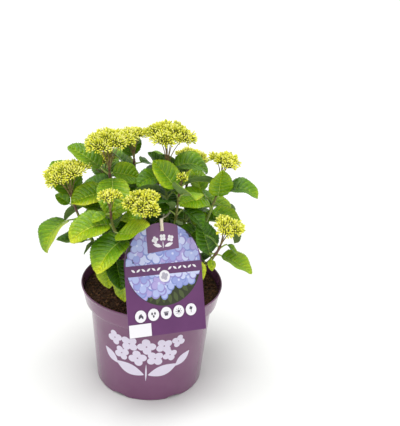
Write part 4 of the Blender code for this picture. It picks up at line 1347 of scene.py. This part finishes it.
def side_of(name):
    """Which half of the plant a shoot belongs to."""
    return "left" if SHOOTS[name].tip[0] < 0 else "right"


VEIN_ROWS = (0, 0.07, 0.3, 0.5, 0.7, 0.93)  # shares of the way from one side vein to the next
HALF_COLUMNS = (0.03, 0.16, 0.34, 0.52, 0.69, 0.84, 0.94, 1)  # shares of the way from midrib to edge


def leaf_look(name, pair, twin, leaf):
    """A leaf's shades: those of its table entry, or lighter towards the top and the outside of the plant,
    partly as the paler green of young growth and partly as painted light where more light reaches, with
    painted shade deeper in.
    """
    if (name, pair, twin) in LOOKS:
        return LOOKS[name, pair, twin]
    chance = random.Random(f"look {name} {pair} {twin}")
    height = (leaf.base.z - 0.2) / 0.2
    out = math.hypot(leaf.base.x, leaf.base.y) / 0.13
    tone = 0.6 + 1.6 * height + 0.9 * out + chance.uniform(-0.5, 0.7)
    return Look(tone, chance.uniform(0.3, 1.3), chance.uniform(0.2, 1.5), chance.uniform(-0.3, 0.6))


def leaf_mesh(leaf, look):
    """One leaf: a grid whose rows run out along its side veins, puckered between them, toothed at its
    edge."""
    veins = max(4, round(leaf.length / VEIN_SPACING))
    rows = [(vein + share) / veins for vein in range(veins) for share in VEIN_ROWS] + [1]
    columns = [-a for a in reversed(HALF_COLUMNS)] + [0, *HALF_COLUMNS]
    last_row, last_column = len(rows) - 1, len(columns) - 1
    scale = min(1, leaf.length / FULL_SIZE)
    phase = leaf.base.x * 400
    last_shade = SHADE_STEPS * (len(LEAF_SHADES) - 1)
    bm = bmesh.new()
    bmesh.ops.create_grid(bm, x_segments=last_row, y_segments=last_column, size=1)
    # The faces get their shades while the grid is flat, lightest along the midrib and the side veins, and
    # lighter or darker by the leaf's edge, tip and one half, which paint light and shade on it
    for face in bm.faces:
        middle = face.calc_center_median()
        row, column = int((middle.x + 1) / 2 * last_row), int((middle.y + 1) / 2 * last_column)
        along, across = (rows[row] + rows[row + 1]) / 2, (columns[column] + columns[column + 1]) / 2
        tone = look.tone + look.margin * across**2 + look.tip * along**2 + look.side * across
        tone += noise.noise(Vector((along * 4, across * 2, phase))) * 0.6
        if row % len(VEIN_ROWS) in (0, len(VEIN_ROWS) - 1):
            tone += VEIN_TONE * (1 - 0.5 * abs(across))
        if abs(across) < 0.03:
            tone += MIDRIB_TONE
        face.material_index = max(0, min(last_shade, round(tone * SHADE_STEPS)))
    # Its points then go to their places on the blade
    for vert in bm.verts:
        row, column = round((vert.co.x + 1) / 2 * last_row), round((vert.co.y + 1) / 2 * last_column)
        share, across = rows[row], columns[column]
        edge = abs(across)
        along = share + SKEW * share * (1 - share) * edge**1.25
        cell = math.sin(math.pi * (share * veins % 1)) if row < last_row else 0
        above = PUCKER * scale * cell * (1 - edge**3) * min(1, edge / 0.12)
        above -= 0.35 * MM * scale * (1 - min(1, edge / 0.1))
        above += WAVE * scale * edge**2 * math.sin(along * 13 + phase + across)
        half = leaf.width / 2 * blade_half_width(along)
        above *= min(1, half / NARROW)
        if edge == 1 and half > 3 * TOOTH and row % 2:
            across *= 1 + TOOTH * scale / half
        vert.co = blade_point(leaf, along, across, above)
    bmesh.ops.remove_doubles(bm, verts=bm.verts, dist=0.00001)
    # A skin under the blade closes it all round
    lower = bmesh.ops.extrude_face_region(bm, geom=bm.faces[:], use_keep_orig=True)["geom"]
    bm.normal_update()
    for element in lower:
        if isinstance(element, bmesh.types.BMVert):
            element.co -= element.normal * BLADE_THICKNESS
        elif isinstance(element, bmesh.types.BMFace):
            element.material_index = last_shade + 1
    bmesh.ops.recalc_face_normals(bm, faces=bm.faces)
    return mesh_from(bm, "leaf")


def stalk_mesh(node, leaf):
    """A leaf's stalk, thicker where it leaves the shoot, and the midrib that goes on from it under the
    blade."""
    base = blade_point(leaf, 0, 0)
    reach = (base - node).length
    ahead = (blade_point(leaf, 0.04, 0) - base).normalized()
    first = node.lerp(base, 0.4) + Vector((0, 0, -0.04 * reach))
    second = base - ahead * 0.25 * reach
    path = [bezier(node, first, second, base, i / 8) for i in range(8)]
    radii = taper(1.5 * PETIOLE_RADIUS, 0.8 * PETIOLE_RADIUS, 3)[:3] + [0.8 * PETIOLE_RADIUS] * 5
    scale = min(1, leaf.length / FULL_SIZE)
    for step in range(10):
        along = 0.8 * step / 9
        path.append(blade_point(leaf, along, 0, -BLADE_THICKNESS - 0.3 * MM))
        radii.append((0.8 * PETIOLE_RADIUS * (1 - along) + 0.1 * MM) * scale)
    return tube_mesh("stalk", path, radii, resolution=1)


def make_leaves(grown):
    """The leaves in two pieces, left and right, and all their stalks in one."""
    shades = leaf_materials()
    sides = {"left": [], "right": []}
    stalks = []
    for name, leaves in grown.items():
        for pair, twin, node, leaf in leaves:
            sides[side_of(name)].append(leaf_mesh(leaf, leaf_look(name, pair, twin, leaf)))
            stalks.append(stalk_mesh(node, leaf))
    for side, meshes in sides.items():
        nodes = [f"foliage_{name}" for name in SHOOTS if side_of(name) == side]
        piece(f"leaves_{side}", joined(meshes, f"leaves_{side}"), shades, nodes)
    # Leaf stalks are paler than the blades, with a soft sheen
    stalk = speckled("leaf_stalk", ("#8fa845", "#b3c566"), 3 * MM, 0.5)
    piece("leaf_stalks", joined(stalks, "leaf_stalks"), [stalk])


# Flower heads


BUD_SHADES = (("green_bud", "#bfc82a"), ("yellow_green_bud", "#e9e83e"), ("pale_yellow_bud", "#faf880"))


def cyme_places(shoot, name):
    """Places and outward directions of a head's small bud groups, all over its clusters' upper sides, with
    the cluster each belongs to."""
    chance = random.Random(f"cymes {name}")
    turn = shoot_axis(shoot).to_track_quat("Z", "Y").to_matrix().to_4x4()
    places, size = bud_places(shoot.bloom)
    drop = Vector((0, 0, DOME_HEIGHT * shoot.bloom / 2 * MM))
    centres = [Vector(place) - drop for place in places]
    squash = Vector((1, 1, 0.8))
    lowest = math.cos(CYME_LIMIT)
    count = round(2 * math.pi * size**2 * (1 - lowest) / CYME_SPACING**2)
    middle = Matrix.Translation(Vector(shoot.tip) * MM) @ turn
    found = []
    for index, centre in enumerate(centres):
        for step in range(count):
            height = 1 - (step + 0.5) / count * (1 - lowest)
            out = math.sqrt(1 - height**2)
            angle = step * GOLDEN + index
            normal = Vector((out * math.cos(angle), out * math.sin(angle), height))
            place = centre + normal * squash * size * chance.uniform(0.8, 1.2)
            others = (other for other in centres if other is not centre)
            if all(((place - other) * Vector((1, 1, 1.25))).length > 0.9 * size for other in others):
                found.append((middle @ place, turn.to_3x3() @ normal, middle @ centre))
    return found


def rod_place(start, end, radius):
    """Where a rod of unit length and radius goes, to run from one point to another."""
    along = end - start
    turn = along.to_track_quat("Z", "Y").to_matrix().to_4x4()
    return Matrix.Translation(start + along / 2) @ turn @ Matrix.Diagonal((radius, radius, along.length, 1))


def bud_group(place, normal, chance):
    """A small group of buds round a middle one: each bud's place and shade, and where their stalks meet."""
    group = Matrix.Translation(place) @ normal.to_track_quat("Z", "Y").to_matrix().to_4x4()
    number = chance.randint(5, 6)
    buds = []
    for index in range(number):
        # The first is the middle one, and the others lean out round it
        angle = 2 * math.pi * index / (number - 1) + chance.uniform(-0.3, 0.3)
        out = chance.uniform(2.6, 3.9) * MM if index else 0
        lean = Matrix.Rotation(0.4 if index else 0, 4, (-math.sin(angle), math.cos(angle), 0))
        rise = chance.uniform(-1.2, 1.8) * MM if index else 2.2 * MM
        size = chance.uniform(0.7, 1.1)
        offset = Matrix.Translation((out * math.cos(angle), out * math.sin(angle), rise))
        shape = Matrix.Diagonal((BUD_RADIUS * size, BUD_RADIUS * size, BUD_HALF_LENGTH * size, 1))
        buds.append((group @ offset @ lean @ shape, chance.choice((0, 1, 1, 2, 2))))
    return buds, group @ Vector((0, 0, -6 * MM))


def head_ray(top, axis, centre):
    """A ray that leaves the top of the stem and bends up to the middle of a bud cluster."""
    bend = top + (centre - top).project(axis) * 0.35 + (centre - top) * 0.25
    path = [bezier(top - axis * 1 * MM, top.lerp(bend, 0.6), bend, centre, i / 6) for i in range(7)]
    return tube_mesh("ray", path, taper(RAY_RADIUS, 0.5 * RAY_RADIUS, 6), resolution=1)


def grow_heads():
    """What the flower heads are made of: the buds of each side with their shades, the stalks of the groups
    and of the buds, the dark cores of the clusters, which are painted shade, and the rays."""
    buds = {"left": [], "right": []}
    twigs, pedicels, shade_cores, rays = [], [], [], []
    for name, shoot in SHOOTS.items():
        if not shoot.bloom:
            continue
        chance = random.Random(f"buds {name}")
        top, axis = shoot_top(shoot), shoot_axis(shoot)
        centres = []
        for place, normal, centre in cyme_places(shoot, name):
            if centre not in centres:
                centres.append(centre)
            twigs.append(rod_place(centre - axis * 3 * MM, place, TWIG_RADIUS))
            group, foot = bud_group(place, normal, chance)
            buds[side_of(name)] += group
            pedicels += [rod_place(foot, bud.translation, PEDICEL_RADIUS) for bud, _ in group]
        _, cluster = bud_places(shoot.bloom)
        heart = Matrix.Diagonal((0.66 * cluster, 0.66 * cluster, 0.42 * cluster, 1))
        shade_cores += [Matrix.Translation(centre + axis * 0.2 * cluster) @ heart for centre in centres]
        rays += [head_ray(top, axis, centre) for centre in centres]
    return buds, twigs, pedicels, shade_cores, rays


def make_heads():
    """Unopened flower heads: small groups of tight oval buds at the ends of thin dark stalks, over a few
    strong rays that fan out from the stem."""
    grown, twigs, pedicels, shade_cores, rays = grow_heads()
    bm = bmesh.new()
    bmesh.ops.create_uvsphere(bm, u_segments=7, v_segments=4, radius=1)
    bud = mesh_from(bm, "bud")
    # Tight buds are smooth and waxy, and each is one of three even shades from green to pale yellow
    shades = [
        speckled(name, (tinted(colour, 0.92), tinted(colour, 1.04)), 4 * MM, 0.55)
        for name, colour in BUD_SHADES
    ]
    for side, buds in grown.items():
        blooming = [name for name, shoot in SHOOTS.items() if shoot.bloom and side_of(name) == side]
        made = repeated(f"buds_{side}", bud, *zip(*buds))
        piece(f"buds_{side}", made, shades, [f"flower_head_{name}" for name in blooming])
    # Rays turn from purple-brown to olive
    ray = speckled("purple_brown_ray", ("#6a4636", "#9a8c50"), 5 * MM, 0.55)
    piece("flower_rays", joined(rays, "flower_rays"), [ray])
    # The stalks are dark, and green under each bud. The dark stalks of the groups are partly their own
    # purple-brown and partly painted shade among the buds. The dark cores in the middle of each cluster are
    # painted shade: solid dark shapes that stand for the shade deep among the buds.
    dark = speckled("dark_bud_stalk", ("#3d2f1a", "#5d5a22"), 5 * MM, 0.6)
    green = speckled("green_bud_stalk", ("#8a9428", "#b4ba3a"), 5 * MM, 0.6)
    painted_shade_core = speckled("painted_shade_cluster_core", ("#3f4210", "#646a1c"), 3 * MM, 0.8, 0.8 * MM, 2 * MM)
    bm = bmesh.new()
    bmesh.ops.create_cone(bm, cap_ends=True, segments=4, radius1=1, radius2=0.8, depth=1)
    rod = mesh_from(bm, "rod")
    stalks = repeated("stalks", rod, twigs + pedicels, [0] * len(twigs) + [1] * len(pedicels))
    bm = bmesh.new()
    bmesh.ops.create_icosphere(bm, subdivisions=2, radius=1)
    shade_core_mesh = repeated("shade_cores", mesh_from(bm, "heart"), shade_cores, [2] * len(shade_cores))
    piece("bud_stalks", joined([stalks, shade_core_mesh], "bud_stalks"), [dark, green, painted_shade_core])


# Floor, light and camera


FLOOR_REACH = 12  # metres
WORLD_LIGHT = 0.79
# Each light: its name, the way it shines, how broad it is (degrees) and its strength
LIGHTS = (
    ("key", (0.12, 0.06, -1.6), 32, 1.8),
    ("fill", (0.0, 1.0, -0.7), 60, 0.5),
)
EYE = (0, -1.21705, 0.86794)
VIEW_RIGHT = (0.99801029, -0.0345593, 0.05273619)
VIEW_UP = (-0.03310741, 0.42458309, 0.90478345)
LENS = 71.92  # mm
SENSOR = 36  # mm


def make_stage():
    """A plain pale floor in soft studio light: an even white world, a broad light overhead, and a broader
    and weaker one from the front."""
    bm = bmesh.new()
    bmesh.ops.create_grid(bm, x_segments=1, y_segments=1, size=FLOOR_REACH)
    floor = bpy.data.objects.new("floor", mesh_from(bm, "floor"))
    floor.data.materials.append(plain("white_floor", "#e6e7e5", 0.8))
    bpy.context.scene.collection.objects.link(floor)
    world = bpy.data.worlds.new("studio")
    world.use_nodes = True
    world.node_tree.nodes["Background"].inputs["Color"].default_value = (1, 1, 1, 1)
    world.node_tree.nodes["Background"].inputs["Strength"].default_value = WORLD_LIGHT
    bpy.context.scene.world = world
    bpy.context.scene.view_settings.view_transform = "Standard"
    for name, toward, spread, strength in LIGHTS:
        light = bpy.data.lights.new(name, "SUN")
        light.angle = math.radians(spread)
        light.energy = strength
        lamp = bpy.data.objects.new(name, light)
        lamp.rotation_euler = Vector(toward).to_track_quat("-Z", "Y").to_euler()
        bpy.context.scene.collection.objects.link(lamp)


def make_camera():
    """A short telephoto view, 1.5 m away and 25 degrees down."""
    camera = bpy.data.cameras.new("camera")
    camera.lens = LENS
    camera.sensor_width = SENSOR
    camera.clip_end = 50
    eye = bpy.data.objects.new("camera", camera)
    right, up = Vector(VIEW_RIGHT), Vector(VIEW_UP)
    turn = Matrix((right, up, right.cross(up))).transposed()
    eye.matrix_world = Matrix.Translation(EYE) @ turn.to_4x4()
    bpy.context.scene.collection.objects.link(eye)
    bpy.context.scene.camera = eye


def main():
    """Everything round the frame."""
    make_camera()
    make_stage()
    make_pot()
    make_pot_print()
    make_peat()
    make_card()
    make_string()
    make_canes()
    make_stems()
    make_heads()
    make_leaves(grow_leaves(taken_room()))


main()
